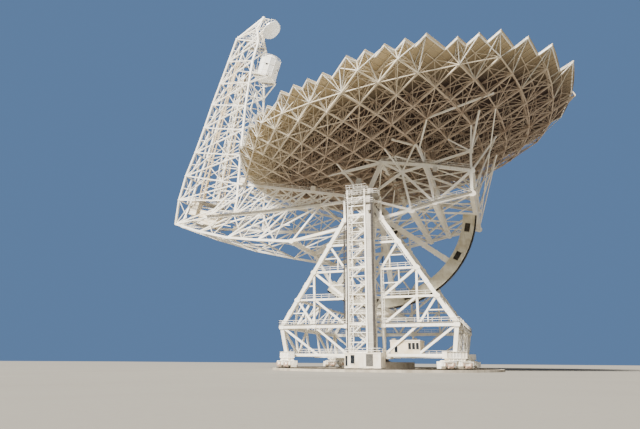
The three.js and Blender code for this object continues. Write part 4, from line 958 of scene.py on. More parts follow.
lit_at_near_rim(tube_paint, "#E2D6BC")
painted_all("backup_", tube_paint)
lattice = [(hoop, rib) for hoop in range(HOOPS + 1) for rib in range(-RIB_REACH, RIB_REACH + 1)
           if rib % rib_stride(hoop) == 0 and lattice_share((hoop, rib)) <= 1]
known = set(lattice)
low_places = [low_node(*place) for place in lattice]
top_places = [top_node(*place) for place in lattice]
top_members = []
low_members = []
web_members = []
star_members = []
for (hoop, rib), low, top in zip(lattice, low_places, top_places):
    stride = rib_stride(hoop)
    even = (hoop + rib // stride) % 2 == 0
    web_members.append((low, top, WEB))
    for other in ((hoop + 1, rib), (hoop, rib + stride)):
        if other in known:
            low_members.append((low, low_node(*other), LOW_CHORD))
            top_members.append((top, top_node(*other), TOP_CHORD))
    for other in ((hoop + 1, rib), (hoop - 1, rib), (hoop, rib + stride), (hoop, rib - stride)):
        if other in known:
            web_members.append((low, top_node(*other), WEB) if even
                               else (top, low_node(*other), CROSSING_WEB))
    across = (hoop + 1, rib - stride if even else rib + stride)
    if across in known:
        low_members.append((low, low_node(*across), WEB))
    for hoop_shift in (-0.5, 0, 0.5):
        for rib_shift in (-stride / 2, 0, stride / 2):
            other = (hoop + hoop_shift, rib + rib_shift)
            if other != (hoop, rib) and lattice_share(other) < STAR_REACH:
                star_members.append((low, top_node(*other), STAR_ROD))
    for start, stop in (((hoop, rib + stride / 2), (hoop + 1, rib + stride / 2)),
                        ((hoop + 0.5, rib), (hoop + 0.5, rib + stride))):
        if max(lattice_share(start), lattice_share(stop)) < 1:
            top_members.append((top_node(*start), top_node(*stop), WEB))
cast_nodes = [(low, LEAN_X, LEAN_UP, (LATTICE_NODE,) * 3) for place, low in zip(lattice, low_places)
              if lattice_share(place) < LATTICE_NODE_REACH]
bars("backup_top_chords", top_members, tube_paint, ON_DISH)
bars("backup_low_chords", low_members, tube_paint, ON_DISH)
bars("backup_star_rods", star_members, tube_paint, ON_DISH)
bars("backup_webs", web_members, tube_paint, ON_DISH)
prisms("backup_cast_nodes", cast_nodes, 8, tube_paint, ON_DISH)

# Panel frames: thin purlins under every edge of the two thousand panels, carried by jacks on
# the lattice's top chords. A bright channel closes the stepped rim.
ROWS = 32
ROW_DEPTH = HOOP_STEP / 2
FINE_RIB = RIB_STEP / 2
PANEL_DEPTH = ROW_DEPTH / 2
PANEL_STEPS = ((22, 4), (44, 2), (88, 1))
RADIAL_PURLIN = 0.17
CROSS_PURLIN = 0.11
PURLIN_DROP = 0.38
PURLIN_PULL = 0.997
RIM_CHANNEL = 0.34
RIM_DROP = 0.43
# Mill-finish purlins, coloured brown as painted shade in the middle of the dish, light tan as painted light
# where the sun gets in
purlin_paint = lit_at_near_rim(coated("painted_shade_brown_purlins", "#6A534A", "#523F3A", 0.65, blotch=3.0), "#D2C4A4")
# Rim channel in fresh white enamel: the brightest line on the dish
rim_white = coated("fresh_white_rim_enamel", "#FFFDF6", "#F1E9D8", 0.45, blotch=5.0)


def row_reach(row):
    """How many fine cells of a row lie inside the aperture on each side of its middle."""
    middle = HOOP_START + (row + 0.5) * ROW_DEPTH
    return sum(share_of_aperture(middle, (rib + 0.5) * FINE_RIB) <= 1 for rib in range(2 * RIB_REACH))


def straight_below(radius, angle, drop):
    """A point so far straight below the surface along the paraboloid's axis, in the row frame."""
    return on_row(radius * math.cos(angle), radius * math.sin(angle),
                  radius * radius / (4 * FOCAL_LENGTH) - drop)


def panel_step(radius):
    """How many fine cells one panel spans, so that panels stay about two metres wide."""
    return next((step for limit, step in PANEL_STEPS if radius < limit), 0.5)


reaches = [row_reach(row) if 0 <= row < ROWS else 0 for row in range(-1, ROWS + 1)]
panels = []
for half_row in range(2 * ROWS):
    near = HOOP_START + half_row * PANEL_DEPTH
    end = reaches[half_row // 2 + 1]
    step = panel_step(near)
    count = int(end / step)
    marks = sorted({-end, end} | {step * place for place in range(-count, count + 1)})
    panels += [(near, near + PANEL_DEPTH, first * FINE_RIB, last * FINE_RIB) for first, last in pairs(marks)]
purlins = {}
for near, far, first, last in panels:
    for start, stop, width in (((near, first), (far, first), RADIAL_PURLIN),
                               ((near, last), (far, last), RADIAL_PURLIN),
                               ((near, first), (near, last), CROSS_PURLIN),
                               ((far, first), (far, last), CROSS_PURLIN)):
        ends = [straight_below(radius, angle * PURLIN_PULL, PURLIN_DROP) for radius, angle in (start, stop)]
        purlins[tuple(round(value, 4) for value in start + stop)] = (*ends, width)
rim_edges = []
for row in range(ROWS):
    before, end, after = reaches[row:row + 3]
    near = HOOP_START + row * ROW_DEPTH
    far = near + ROW_DEPTH
    inset = RIM_CHANNEL / 2
    for side in SIDES:
        edge = side * (end * FINE_RIB - inset / far)
        rim_edges.append(((near + inset * (before < end), edge), (far - inset * (after < end), edge)))
        rim_edges += [((radius, side * other * FINE_RIB), (radius, edge))
                      for other, radius in ((before, near + inset), (after, far - inset)) if other < end]
rim_members = []
for start, stop in rim_edges:
    corner = straight_below(*stop, RIM_DROP)
    rim_members.append((straight_below(*start, RIM_DROP), corner, RIM_CHANNEL))
    for places, count in ((low_places, 2), (top_places, 1)):
        nearest = sorted(places, key=lambda place: (place - corner).length)
        rim_members += [(corner, place, WEB) for place in nearest[:count]]
bars("panel_purlins", list(purlins.values()), purlin_paint, ON_DISH)
bars("rim_channels", rim_members, rim_white, ON_DISH)

# Reflecting panels: pressed aluminium skins, four-sided and slightly apart, painted flat white
# so that they don't focus sunlight. Underneath, they are coloured dark as painted shade between the purlins.
PANEL_GAP = 0.04
PANEL_LIFT = 0.02
PANEL_SKIN = 0.08
PANEL_SPAN = 2.1
# Solar-diffusing white on aluminium: very matt, cool white with grey rain marks
panel_white = coated("matt_solar_diffusing_white", "#F5F3EE", "#EAE7DF", 0.85, blotch=5.0, streak=1.2)
# Backs of the aluminium panels, coloured brown-purple with darker blotches as painted shade under the dish,
# lightened to tan towards the near rim as painted light
panel_back = lit_at_near_rim(coated("painted_shade_panel_back", "#453630", "#332723", 0.8, blotch=2.5, streak=1.0),
                      "#BFAD8B")
painted_all("reflector_", panel_back)


def panel_tree():
    """Thin closed skins grown from separate four-sided faces."""
    tree, given = new_tree("Skins on panels", {"Share": "Float", "Thickness": "Float",
                                               "Finish": "Material"})
    face = add_node(tree, "GeometryNodeScaleElements", {"Geometry": given["Base"],
                                                        "Scale": given["Share"]}, domain="FACE")
    raised = add_node(tree, "GeometryNodeExtrudeMesh", {
        "Mesh": face.outputs[0], "Offset Scale": given["Thickness"], "Individual": True}, mode="FACES")
    under = add_node(tree, "GeometryNodeFlipFaces", {"Mesh": face.outputs[0]})
    closed = add_node(tree, "GeometryNodeJoinGeometry")
    tree.links.new(raised.outputs[0], closed.inputs[0])
    tree.links.new(under.outputs[0], closed.inputs[0])
    whole = add_node(tree, "GeometryNodeMergeByDistance", {"Geometry": closed.outputs[0]})
    return end_tree(tree, whole.outputs[0], given["Finish"])


skin = bpy.data.meshes.new("reflecting_panels")
skin_points = [on_dish(radius, angle, -PANEL_LIFT) * MODEL for near, far, first, last in panels
               for radius, angle in ((near, first), (far, first), (far, last), (near, last))]
skin.from_pydata(skin_points, [], [range(place, place + 4) for place in range(0, len(skin_points), 4)])
mounted(grown("reflecting_panels", skin, panel_tree(), {
    "Share": 1 - PANEL_GAP / PANEL_SPAN, "Thickness": PANEL_SKIN * MODEL, "Finish": panel_white}), ON_DISH)

# Box under the dish: two side trusses of welded box members with gussets at every joint, tied by
# round cross beams and crossed rods. Struts fan out from its joints to the lattice above.
BEARING = (AXIS_X, AXIS_Z)
UPPER = {"low": (45.5, 2), "first": (56.4, 6.7), "dip": (63.1, 4.6), "second": (69.3, 7.7),
         "third": (82.1, 7.9), "tip": (80.8, 13.6)}
LOWER = {"tail": (35, -22), "under": (54.3, -12.8), "first": (68.4, -6.1), "second": (74.3, -2.9),
         "third": (83.6, 1.4)}
UPPER_GUSSETS = {"low": 2.2, "first": 3.2, "dip": 2.2, "second": 3.2, "third": 3.2, "tip": 2.2}
LOWER_GUSSETS = {"tail": 2.6, "under": 2.6, "first": 3.4, "second": 2.8, "third": 3.2}
FANS = ((UPPER["third"], 12.6, 1, 0.5), (UPPER["second"], 10, 3.6, 0.5), (UPPER["tip"], 12.5, 3.5, 0.45),
        (LOWER["third"], 12.6, 1, 0.3), (LOWER["third"], 13, -3, 0.3))
FAN_CHAIN = ((9.5, 5.2), (10, 3.6), (11, 5), (13.2, 3.8))
FAN_CHAIN_TUBE = 0.45
FAN_STRUT = 0.36
FAN_REACH = 15
FANS_A_JOINT = 4
CROSSED_PAIRS = ((UPPER["second"], LOWER["second"]), (UPPER["third"], LOWER["third"]),
                 (UPPER["first"], LOWER["under"]))
FLAT_PAIRS = ((UPPER["first"], UPPER["second"]), (UPPER["second"], UPPER["third"]),
              (LOWER["first"], LOWER["second"]), (LOWER["second"], LOWER["third"]),
              (LOWER["tail"], LOWER["under"]), (LOWER["under"], LOWER["first"]))
FLAT_CROSSES = ((0, 0.5), (0.5, 0), (0.5, 1), (1, 0.5))
BOX_CHORD = 0.8
CROSS_ROD = 0.34
FLAT_ROD = 0.28
BEAM_RAIL_REACH = 19
WALK_OUT = 0.6
WALK_LIFT = 0.45
NARROW_WALK = 0.8
BOX_EQUIPMENT = (tilted(51.4, -BOX_Y - 1.1, -0.5, (1.5, 1.2, 1.7)),
                 tilted(72.4, -BOX_Y - 0.9, 6.6, (1.1, 0.9, 1.3)))
painted_all(("box_", "sector_", "tail_"), white_paint)


def in_side(place, side, outward=0.0):
    """A joint of a side truss, so far outside its plane, or that share of the way to it."""
    return on_row(place[0], side * (BOX_Y + outward), place[1])


def walkway(points):
    """Narrow floor plates one after the other through a row of points."""
    return [deck(start, stop, NARROW_WALK) for start, stop in pairs(points)]


joints = []
struts = []
rails = []
floors = []
rods = []
for side in SIDES:
    for places, sizes in ((UPPER, UPPER_GUSSETS), (LOWER, LOWER_GUSSETS)):
        for name, size in sizes.items():
            joints += gussets(in_side(places[name], side), size, BOX_CHORD, LEAN_X)
        walk = [in_side(places[name], side, WALK_OUT) + UP * WALK_LIFT
                for name in ("first", "second", "third")]
        rails += railing(walk)
        floors += walkway(walk)
    for name in ("low", "first", "dip", "second", "tip"):
        start = in_side(UPPER[name], side)
        nearest = sorted(low_places, key=lambda place: (place - start).length)[:FANS_A_JOINT]
        struts += [(start, place, FAN_STRUT) for place in nearest if (place - start).length < FAN_REACH]
    struts += [(in_side(place, side), low_node(hoop, side * rib), width) for place, hoop, rib, width in FANS]
    struts += chain([low_node(hoop, side * rib) for hoop, rib in FAN_CHAIN], FAN_CHAIN_TUBE)
    rails += rungs(in_side(UPPER["first"], side, LADDER_OUT), in_side(BEARING, side, LADDER_OUT), LEAN_X)
    for first, last in CROSSED_PAIRS:
        rods.append((in_side(first, side), in_side(last, 0), CROSS_ROD))
        rods.append((in_side(last, side), in_side(first, 0), CROSS_ROD))
    for first, last in FLAT_PAIRS:
        rods += [(in_side(first, side * inner), in_side(last, side * outer), FLAT_ROD)
                 for inner, outer in FLAT_CROSSES]
for name in ("second", "third"):
    x, z = UPPER[name]
    rails += railing([on_row(x, y, z + BOX_CHORD) for y in (-BEAM_RAIL_REACH, BEAM_RAIL_REACH)])
prisms("box_gussets", joints, 8, white_paint, ON_TIP)
bars("box_fan_struts", struts, white_paint, ON_TIP)
bars("box_cross_rods", rods, white_paint, ON_TIP)
bars("box_handrails", rails, white_paint, ON_TIP)
prisms("box_walkways", floors, 4, grating, ON_TIP)
prisms("box_equipment", BOX_EQUIPMENT, 4, shaft_sheet, ON_TIP)

# Gear sector: a box girder rolled to a thirty-metre radius, plated in short lengths, with four-sided
# openings at some joints, drawn as dark plates of painted shade, and a bolted steel rack round its outer edge
# for the drive.
GEAR_RADIUS = 30
RIM_INNER = 26.1
RIM_OUTER = 29.65
RIM_HALF_WIDTH = 0.8
SECTOR_FROM = 12
SECTOR_TO = -112.4
TEETH = 150
TOOTH = (0.16, 0.24, 0.72)
TOOTH_MARGIN = 0.4
JOINT_STEP = 3.1
JOINT_PLATE = (RIM_OUTER - RIM_INNER - 0.2, 0.11, 0.07)
EDGE_FLANGE = 0.24
EDGE_FROM = -112
EDGE_STEP = 1.25
EDGE_MARKS = 100
POCKETS = (3, -16.5, -57.6, -77, -96)
POCKET_RADIUS = 27.7
POCKET = (1.5, 2.6, 0.1)
# Paint of the girder in a greyed yellow-beige, painted shade from the dish above, with brown runs of grease
girder_paint = coated("greased_and_shaded_buff_girder_paint", "#DAD4C0", "#C2B99F", 0.5, blotch=1.8)
# The rack, greased dark olive-brown and half glossy; the same dark colour fills the openings as painted shade
greased_steel_and_hole_shade = coated("greased_steel_and_painted_hole_shade", "#4A443B", "#2E2A26", 0.35, 0.6, blotch=0.7)
painted(["gear_sector"], girder_paint)
painted(["gear_rack"], greased_steel_and_hole_shade)


def on_wheel(radius, degrees, y=0.0):
    """A point of the gear sector in the row frame, with its outward direction."""
    angle = math.radians(degrees)
    outward = LEAN_X * math.cos(angle) + LEAN_UP * math.sin(angle)
    return Vector((0, y, AXIS_HEIGHT)) + outward * radius, outward


def on_rim(radius, degrees, y, size):
    """A plate on a side of the sector's girder, with its first size outwards and its last across."""
    spot, outward = on_wheel(radius, degrees, y)
    return spot, outward, AHEAD, size


seams = []
hollows = []
edges = []
seam_count = round((SECTOR_FROM - SECTOR_TO) / JOINT_STEP)
sweep = SECTOR_TO - SECTOR_FROM
seam_marks = [SECTOR_FROM + sweep * seam / seam_count for seam in range(1, seam_count)]
edge_marks = [EDGE_FROM + EDGE_STEP * mark for mark in range(EDGE_MARKS)]
for side in SIDES:
    seams += [on_rim((RIM_INNER + RIM_OUTER) / 2, degrees, side * (RIM_HALF_WIDTH + 0.03), JOINT_PLATE)
              for degrees in seam_marks]
    # Dark plates in the hand holes, painted as the shade inside the girder
    hollows += [on_rim(POCKET_RADIUS, degrees, side * (RIM_HALF_WIDTH + 0.05), POCKET)
                for degrees in POCKETS]
    for radius in (RIM_INNER + EDGE_FLANGE / 2, RIM_OUTER - EDGE_FLANGE / 2):
        edges += chain([on_wheel(radius, degrees, side * (RIM_HALF_WIDTH + 0.02))[0]
                        for degrees in edge_marks], EDGE_FLANGE)
tooth_marks = [SECTOR_FROM - TOOTH_MARGIN + (sweep + 2 * TOOTH_MARGIN) * tooth / (TEETH - 1)
               for tooth in range(TEETH)]
teeth = [on_rim(GEAR_RADIUS + 0.07, degrees, 0, TOOTH) for degrees in tooth_marks]
prisms("sector_joint_plates", seams, 4, girder_paint, ON_TIP)
bars("sector_edge_flanges", edges, girder_paint, ON_TIP)
prisms("sector_hand_hole_shade", hollows, 4, greased_steel_and_hole_shade, STEEL_ON_TIP)
prisms("sector_rack_teeth", teeth, 4, greased_steel_and_hole_shade, STEEL_ON_TIP)

# Spokes, hub and tail beam: square welded tubes that tie the sector to the box. They carry end
# flanges, ring stiffeners and gussets where they meet.
SPOKES = (-22.2, -67.3, -108)
SPOKE_RINGS = (3.4, 8, 12.5, 17, 21.5, 25.6)
SPOKE_RING = (1.72, 1.72, 0.16)
SPOKE_END = 24.9
SPOKE_TUBE = 1.5
SPOKE_GUSSET = 3.2
STRUT_RINGS = (0.12, 0.3, 0.5, 0.7, 0.88)
TAIL_RINGS = (2.2, 7, 12, 17)
TAIL_RING = (1.52, 1.52, 0.16)
hub = in_side(BEARING, 0)
tail = in_side(LOWER["tail"], 0)
rings = [(along(hub, tail, share), AHEAD, (tail - hub).normalized(), SPOKE_RING) for share in STRUT_RINGS]
rings += [(tail + AHEAD * y * side, LEAN_X, AHEAD, TAIL_RING) for y in TAIL_RINGS for side in SIDES]
for degrees in SPOKES:
    for radius in SPOKE_RINGS:
        spot, outward = on_wheel(radius, degrees)
        rings.append((spot, AHEAD, outward, SPOKE_RING))
    rings += gussets(on_wheel(SPOKE_END, degrees)[0], SPOKE_GUSSET, SPOKE_TUBE, outward)
prisms("spoke_and_tail_flanges", rings, 4, white_paint, ON_TIP)

# Feed arm, level part: welded box chords with gusseted joints and square lacing in every bay. A
# walkway with rails runs along the middle chord on both sides.
UPPER_CHORD = ((AXIS_X, 20, AXIS_Z), (43.4, 17.9, -4.8), (33.2, 15.9, -4.8), (22.6, 13.8, -4.8),
               (11.7, 11.7, -4.8), (4.2, 10.2, -4.8))
MIDDLE_CHORD = ((AXIS_X, 20, AXIS_Z), (40, 17.4, -8.8), (28.5, 15.2, -11.6), (18.5, 13.3, -13.9),
                (7, 11.2, -16.2), (-4.8, 9, -18.6))
LOWER_CHORD = ((35, 20, -22), (21, 15.5, -23.3), (7, 11, -24.2), (-8, 6.5, -23.8), (-22.8, 1.8, -22.5))
ARM_LACING = 0.24
ARM_CROSS = 0.312
ARM_CHORD = 0.75
ARM_GUSSET = 1.7
ARM_WALK_OUT = 0.75
TOP_RAIL_LIFT = 0.42
TOP_RAIL = (1.0, 2.6)
ARM_BOXES = (tilted(7.2, -12.2, -3.9, (2.0, 1.5, 1.7)), tilted(36, -17.4, -3.9, (1.4, 1.2, 1.3)))
painted_all("feed_", white_paint)


def arm_line(chord, side):
    """A chord of one side of the arm or mast, in the row frame."""
    return [on_row(x, side * y, z) for x, y, z in chord]


joints = []
lacing = []
rails = []
floors = []
for side in SIDES:
    upper, middle, lower = [arm_line(chord, side) for chord in (UPPER_CHORD, MIDDLE_CHORD, LOWER_CHORD)]
    for spot in upper[1:] + middle[1:-1] + lower[1:-1]:
        joints += gussets(spot, ARM_GUSSET, ARM_CHORD, LEAN_X)
    for bay in range(1, 5):
        half = midpoint(upper[bay], upper[bay + 1])
        lacing += [(half, stop, ARM_LACING) for stop in (middle[bay], middle[bay + 1],
                                                         midpoint(middle[bay], middle[bay + 1]))]
    for bay in range(4):
        start, stop = middle[bay + 2], middle[min(bay + 3, 5)]
        half = midpoint(lower[bay], lower[bay + 1])
        lacing += [(half, start, ARM_LACING), (half, stop, ARM_LACING),
                   (midpoint(half, start), midpoint(lower[bay], start), ARM_LACING),
                   (midpoint(half, stop), midpoint(start, stop), ARM_LACING)]
    walk = [spot + Vector((0, side * ARM_WALK_OUT, WALK_LIFT)) for spot in middle[1:]]
    rails += railing(walk) + railing([spot + UP * TOP_RAIL_LIFT for spot in upper[1:]], *TOP_RAIL)
    floors += walkway(walk)
for chord in (UPPER_CHORD, MIDDLE_CHORD, LOWER_CHORD):
    near, far = [arm_line(chord, side) for side in SIDES]
    for bay in range(1, len(chord) - 1):
        lacing.append((midpoint(near[bay], near[bay + 1]), midpoint(far[bay], far[bay + 1]), ARM_LACING))
        lacing.append((near[bay], far[bay], ARM_CROSS))
prisms("arm_gussets", joints, 8, white_paint, ON_TIP)
bars("arm_lacing", lacing, white_paint, ON_TIP)
bars("arm_handrails", rails, white_paint, ON_TIP)
prisms("arm_walkways", floors, 4, grating, ON_TIP)
prisms("arm_equipment_boxes", ARM_BOXES, 4, wall_sheet, ON_TIP)

# Feed mast: four chords laced on every face, with a stair tower and two lift rails inside. A
# machine cabin and a platform stand at its foot.
MAST_OUTER = ((-22.8, 1.8, -22.5), (-23.3, 3.6, -13.5), (-23.5, 3.9, -3.8), (-22.8, 3.8, 6),
              (-22.6, 3.6, 16.6), (-22.6, 3.5, 26.6), (-22.2, 3.4, 36), (-21.9, 3.3, 46),
              (-21.6, 3.2, 56.3), (-12.9, 2.4, 67))
MAST_INNER = ((7, 11.2, -16.2), (6.2, 10.8, -11), (4.2, 10.2, -4.8), (0.9, 9.2, 6), (-2, 8.3, 16),
              (-4.8, 7.4, 26), (-7.2, 6.4, 36), (-9.6, 5.2, 46), (-11, 3.4, 55.5), (-14.2, 2.6, 62))
MAST_CHORD = 0.65
MAST_GUSSET = 1.2
MAST_LACING = 0.2
MAST_BRACE = 0.3
RAIL_SHARE = 0.4
INNER_SHARE = 0.7
LIFT_RAIL = 0.4
LIFT_RAIL_HALF_GAP = 0.035
LIFT_LEVELS = 7
LIFT_TIES = 5
LIFT_TIE = 0.16
TIE_REACH = 0.08
STAIR_FOOT = on_row(-7.4, -2.6, -11)
STAIR_HEAD = on_row(-13.4, -2.6, 40.6)
LANDING_STEP = 2.4
LANDING = (2.3, 2.2, 0.12)
LANDING_HALF = 1.1
LANDING_RAIL = (1.1, 1.1)
FLIGHT_HALF = 0.9
STAIR_STRING = 0.28
STRING_EDGES = (-0.9, -0.2)
STAIR_POST = 0.3
STAIR_POSTS = ((-1.15, -1.1), (1.15, -1.1), (1.15, 1.1), (-1.15, 1.1))
SLOPING_RAIL = ((-14.5, -4, 8.2), (-11.7, -4, -12.3))
SLOPING_RAIL_WIDTH = 0.36
FOOT_STOPS = ((-18.4, 2.4, -19.2), (-16.6, 3.4, -11.4))
FOOT_STRUT = 0.26
MAST_CABINS = (tilted(-16.6, -1.0, -14.6, (3.0, 2.6, 6.2)), tilted(-7.6, -3.0, -18.2, (8.0, 3.2, 5.0)))
CABIN_BANDS = 5
BAND_OUT = 0.2
BAND_HEIGHT = 0.14
MAST_PLATFORMS = (tilted(-9.6, -2.2, -12.9, (9.6, 8.0, 0.3)), tilted(-9.6, -2.2, -20.9, (9.6, 7.0, 0.25)))
PLATFORM_EDGE = ((-14.3, 1.7), (-14.3, -6.1), (-4.9, -6.1), (-4.9, 1.7), (-14.3, 1.7))
PLATFORM_RAIL_Z = -12.7
# Lift rails in primer gone pale: tan with rust runs
rail_primer = coated("rust_stained_tan_primer", "#D6C39D", "#B59A70", 0.6, blotch=1.2)
joints = []
lacing = []
rails = []
lift_rails = []
floors = []
outers = [arm_line(MAST_OUTER, side) for side in SIDES]
inners = [arm_line(MAST_INNER, side) for side in SIDES]
for side, outer, inner in zip(SIDES, outers, inners):
    for spot in outer[1:-1] + inner[2:-1]:
        joints += gussets(spot, MAST_GUSSET, MAST_CHORD, LEAN_X)
    for level in range(1, 9):
        start, far_start = [along(outer[level], inner[level], share) for share in (RAIL_SHARE, INNER_SHARE)]
        stop, far_stop = [along(outer[level + 1], inner[level + 1], share)
                          for share in (RAIL_SHARE, INNER_SHARE)]
        half = midpoint(outer[level], outer[level + 1])
        far_half = midpoint(inner[level], inner[level + 1])
        rail_half = midpoint(start, stop)
        lacing.append((outer[level], stop, MAST_BRACE))
        lacing += [(*ends, MAST_LACING) for ends in (
            (half, midpoint(outer[level], stop)), (far_half, far_start), (far_half, far_stop),
            (far_half, midpoint(far_start, far_stop)), (far_start, rail_half), (far_stop, rail_half),
            (far_start, far_stop))]
        if level < LIFT_LEVELS:
            for gap in (-LIFT_RAIL_HALF_GAP, LIFT_RAIL_HALF_GAP):
                lift_rails.append((along(outer[level], inner[level], RAIL_SHARE + gap),
                                   along(outer[level + 1], inner[level + 1], RAIL_SHARE + gap), LIFT_RAIL))
            ties = [along(start, stop, tie / LIFT_TIES) for tie in range(LIFT_TIES)]
            lift_rails += [(along(spot, outer[level], TIE_REACH), along(spot, outer[level], -TIE_REACH),
                            LIFT_TIE) for spot in ties]
    for foot in outer[:2]:
        lacing += [(foot, on_row(x, side * y, z), FOOT_STRUT) for x, y, z in FOOT_STOPS]
for level in range(1, 9):
    for near, far in (outers, inners):
        lacing += crossed((near[level], near[level + 1]), (far[level], far[level + 1]), 1, MAST_LACING)
        lacing.append((midpoint(near[level], near[level + 1]), midpoint(far[level], far[level + 1]),
                       MAST_LACING))
landings = round((STAIR_HEAD.z - STAIR_FOOT.z) / LANDING_STEP)
spots = [along(STAIR_FOOT, STAIR_HEAD, landing / landings) for landing in range(landings + 1)]
for landing, (spot, above) in enumerate(pairs(spots)):
    floors.append((spot, LEAN_X, LEAN_UP, LANDING))
    rails += railing([spot + (LEAN_X * end - AHEAD) * LANDING_HALF for end in (1, -1)], *LANDING_RAIL)
    lean = LEAN_X * (FLIGHT_HALF if landing % 2 else -FLIGHT_HALF)
    rails += [(spot + lean + AHEAD * edge, above - lean + AHEAD * edge, STAIR_STRING)
              for edge in STRING_EDGES]
for x, y in STAIR_POSTS:
    shift = LEAN_X * x + AHEAD * y
    lacing.append((STAIR_FOOT + shift, STAIR_HEAD + shift, STAIR_POST))
lift_rails.append((on_row(*SLOPING_RAIL[0]), on_row(*SLOPING_RAIL[1]), SLOPING_RAIL_WIDTH))
trims = []
for centre, out, up, size in MAST_CABINS:
    for band in range(CABIN_BANDS):
        spot = centre + LEAN_UP * size[2] * (band / (CABIN_BANDS - 1) - 0.5)
        trims.append((spot, out, up, (size[0] + BAND_OUT, size[1] + BAND_OUT, BAND_HEIGHT)))
prisms("mast_gussets", joints, 8, white_paint, ON_TIP)
bars("mast_lacing", lacing, white_paint, ON_TIP)
bars("mast_stair_rails", rails, white_paint, ON_TIP)
prisms("mast_stair_landings", floors, 4, grating, ON_TIP)
bars("mast_lift_rails", lift_rails, rail_primer, ON_TIP)
prisms("mast_machine_cabins", MAST_CABINS, 4, wall_sheet, ON_TIP)
prisms("mast_cabin_trims", trims, 4, cream_sheet, ON_TIP)
prisms("mast_platforms", MAST_PLATFORMS, 4, grating, ON_TIP)
bars("mast_platform_rails", railing([on_row(x, y, PLATFORM_RAIL_Z) for x, y in PLATFORM_EDGE]),
     white_paint, ON_TIP)

# Receiver room: a twelve-sided cabin of insulated wall panels on the deck, with ribs at its
# corners, bands round it, and a turret of feed horns on top.
ROOM_X = -5
ROOM_RADIUS = 3.9
ROOM_SIDES = 12
ROOM_FLOOR = 41.2
ROOM_ROOF = 49.2
ROOM_RIB = 0.16
ROOM_BAND = 0.2
ROOM_BANDS = (ROOM_FLOOR + 0.12, 43.6, 46.4, ROOM_ROOF - 0.1)
HATCH = (0.9, 0.7, 0.06)
HATCH_HEIGHT = 4.8
HORNS = (1.0, 0.7, 0.5, 0.8, 0.4, 0.6, 0.35, 0.5)
HORN_RING = 1.45
HORN_DEPTH = 0.5
HORN_HEIGHT = ROOM_ROOF + 1.7
DECK_TOP = 41.25
DECK_EDGE = ((-9, -5), (-1.8, -3.6), (-1.8, 3.6), (-9, 5))
DECK_FLOORS = [tilted(-5.4, y, 41.18, (6.8, 1.2, 0.1)) for y in (-3.3, 3.3)]
# Receiver wall panels: clean white gelcoat with a soft gloss
gelcoat = coated("white_gelcoat_panels", "#FFFFFC", "#F8F2E6", 0.35, blotch=3.0)
painted(["receiver_room", "feed_turret"], gelcoat)
painted(["receiver_deck"], white_paint)
room = on_row(ROOM_X, 0, 0)
ring = [room + out * ROOM_RADIUS for out in spokes(ROOM_SIDES, LEAN_X)]
ring.append(ring[0])
feet = [room + out * (ROOM_RADIUS - 0.02) for out in spokes(ROOM_SIDES, LEAN_X)]
ribs = [(foot + LEAN_UP * ROOM_FLOOR, foot + LEAN_UP * ROOM_ROOF, ROOM_RIB) for foot in feet]
for height, width in [(band, ROOM_BAND) for band in ROOM_BANDS] + [(ROOM_ROOF + 0.5, HANDRAIL),
                                                                   (ROOM_ROOF + 1, HANDRAIL)]:
    ribs += chain([spot + LEAN_UP * height for spot in ring], width)
ribs += [(spot + LEAN_UP * ROOM_ROOF, spot + LEAN_UP * (ROOM_ROOF + 1), HANDRAIL) for spot in ring[:-1]]
flat = ROOM_RADIUS * math.cos(math.pi / ROOM_SIDES) + 0.02
walls = spokes(2 * ROOM_SIDES, LEAN_X)[1::6]
hatches = [(room + LEAN_UP * (ROOM_FLOOR + HATCH_HEIGHT) + out * flat, out.cross(LEAN_UP), out, HATCH)
           for out in walls]
horns = [(room + LEAN_UP * HORN_HEIGHT + out * HORN_RING, out, LEAN_UP, (size, size, HORN_DEPTH))
         for out, size in zip(spokes(len(HORNS), LEAN_X), HORNS)]
bars("receiver_room_ribs", ribs, gelcoat, ON_TIP, 6)
prisms("receiver_room_hatches", hatches, 4, glass_and_recess_shade, ON_TIP)
prisms("receiver_feed_horns", horns, 16, girder_paint, ON_TIP)
bars("receiver_deck_rails", railing([on_row(x, y, DECK_TOP) for x, y in DECK_EDGE]), white_paint, ON_TIP)
prisms("receiver_deck_floor", DECK_FLOORS, 4, grating, ON_TIP)

# Subreflector: a spun white bowl on a welded frame of ribs and hoops behind it, hung on six struts
# from the mast's tip, with floors and winches on the mast below it.
BOWL = Vector((-9.7, 0, 63.6))
BOWL_RADIUS = 3.95
BOWL_RIBS = 16
BOWL_RIM = (BOWL_RADIUS - 0.06, 0.75)
BOWL_BACK = (2.1, 1.15)
BOWL_APEX = 1.9
FACING = Vector((0.777, 0, -0.63)).normalized()
BACK_RIB = 0.14
BACK_HOOP = 0.16
TIP_LACING = 0.2
TIP_STRUTS = ((-12.9, 2.4, 66.9), (-10.0, 2.4, 66.4), (-12.4, 1.4, 63), (-12, 2.2, 61))
TOP_FLOOR_EDGE = ((-21.4, 3.3, 56.6), (-11.2, 3.5, 56.1))
TOP_FLOOR_RAIL = (1.1, 1.5)
UPPER_FLOORS = (tilted(-16.4, -2.7, 56.3, (9.4, 1.0, 0.1)), tilted(-16.4, 2.7, 56.3, (9.4, 1.0, 0.1)),
                tilted(-17, 0, 46, (8.8, 1.2, 0.1)), tilted(-16, 0, 36, (9, 1.2, 0.1)))
WINCHES = (tilted(-17.5, -1.4, 57.1, (1.4, 1.0, 1.1)), tilted(-15.6, 1.5, 57.2, (1.2, 1.2, 1.3)),
           tilted(-18.4, 0.8, 47, (1.6, 1.4, 1.5)))
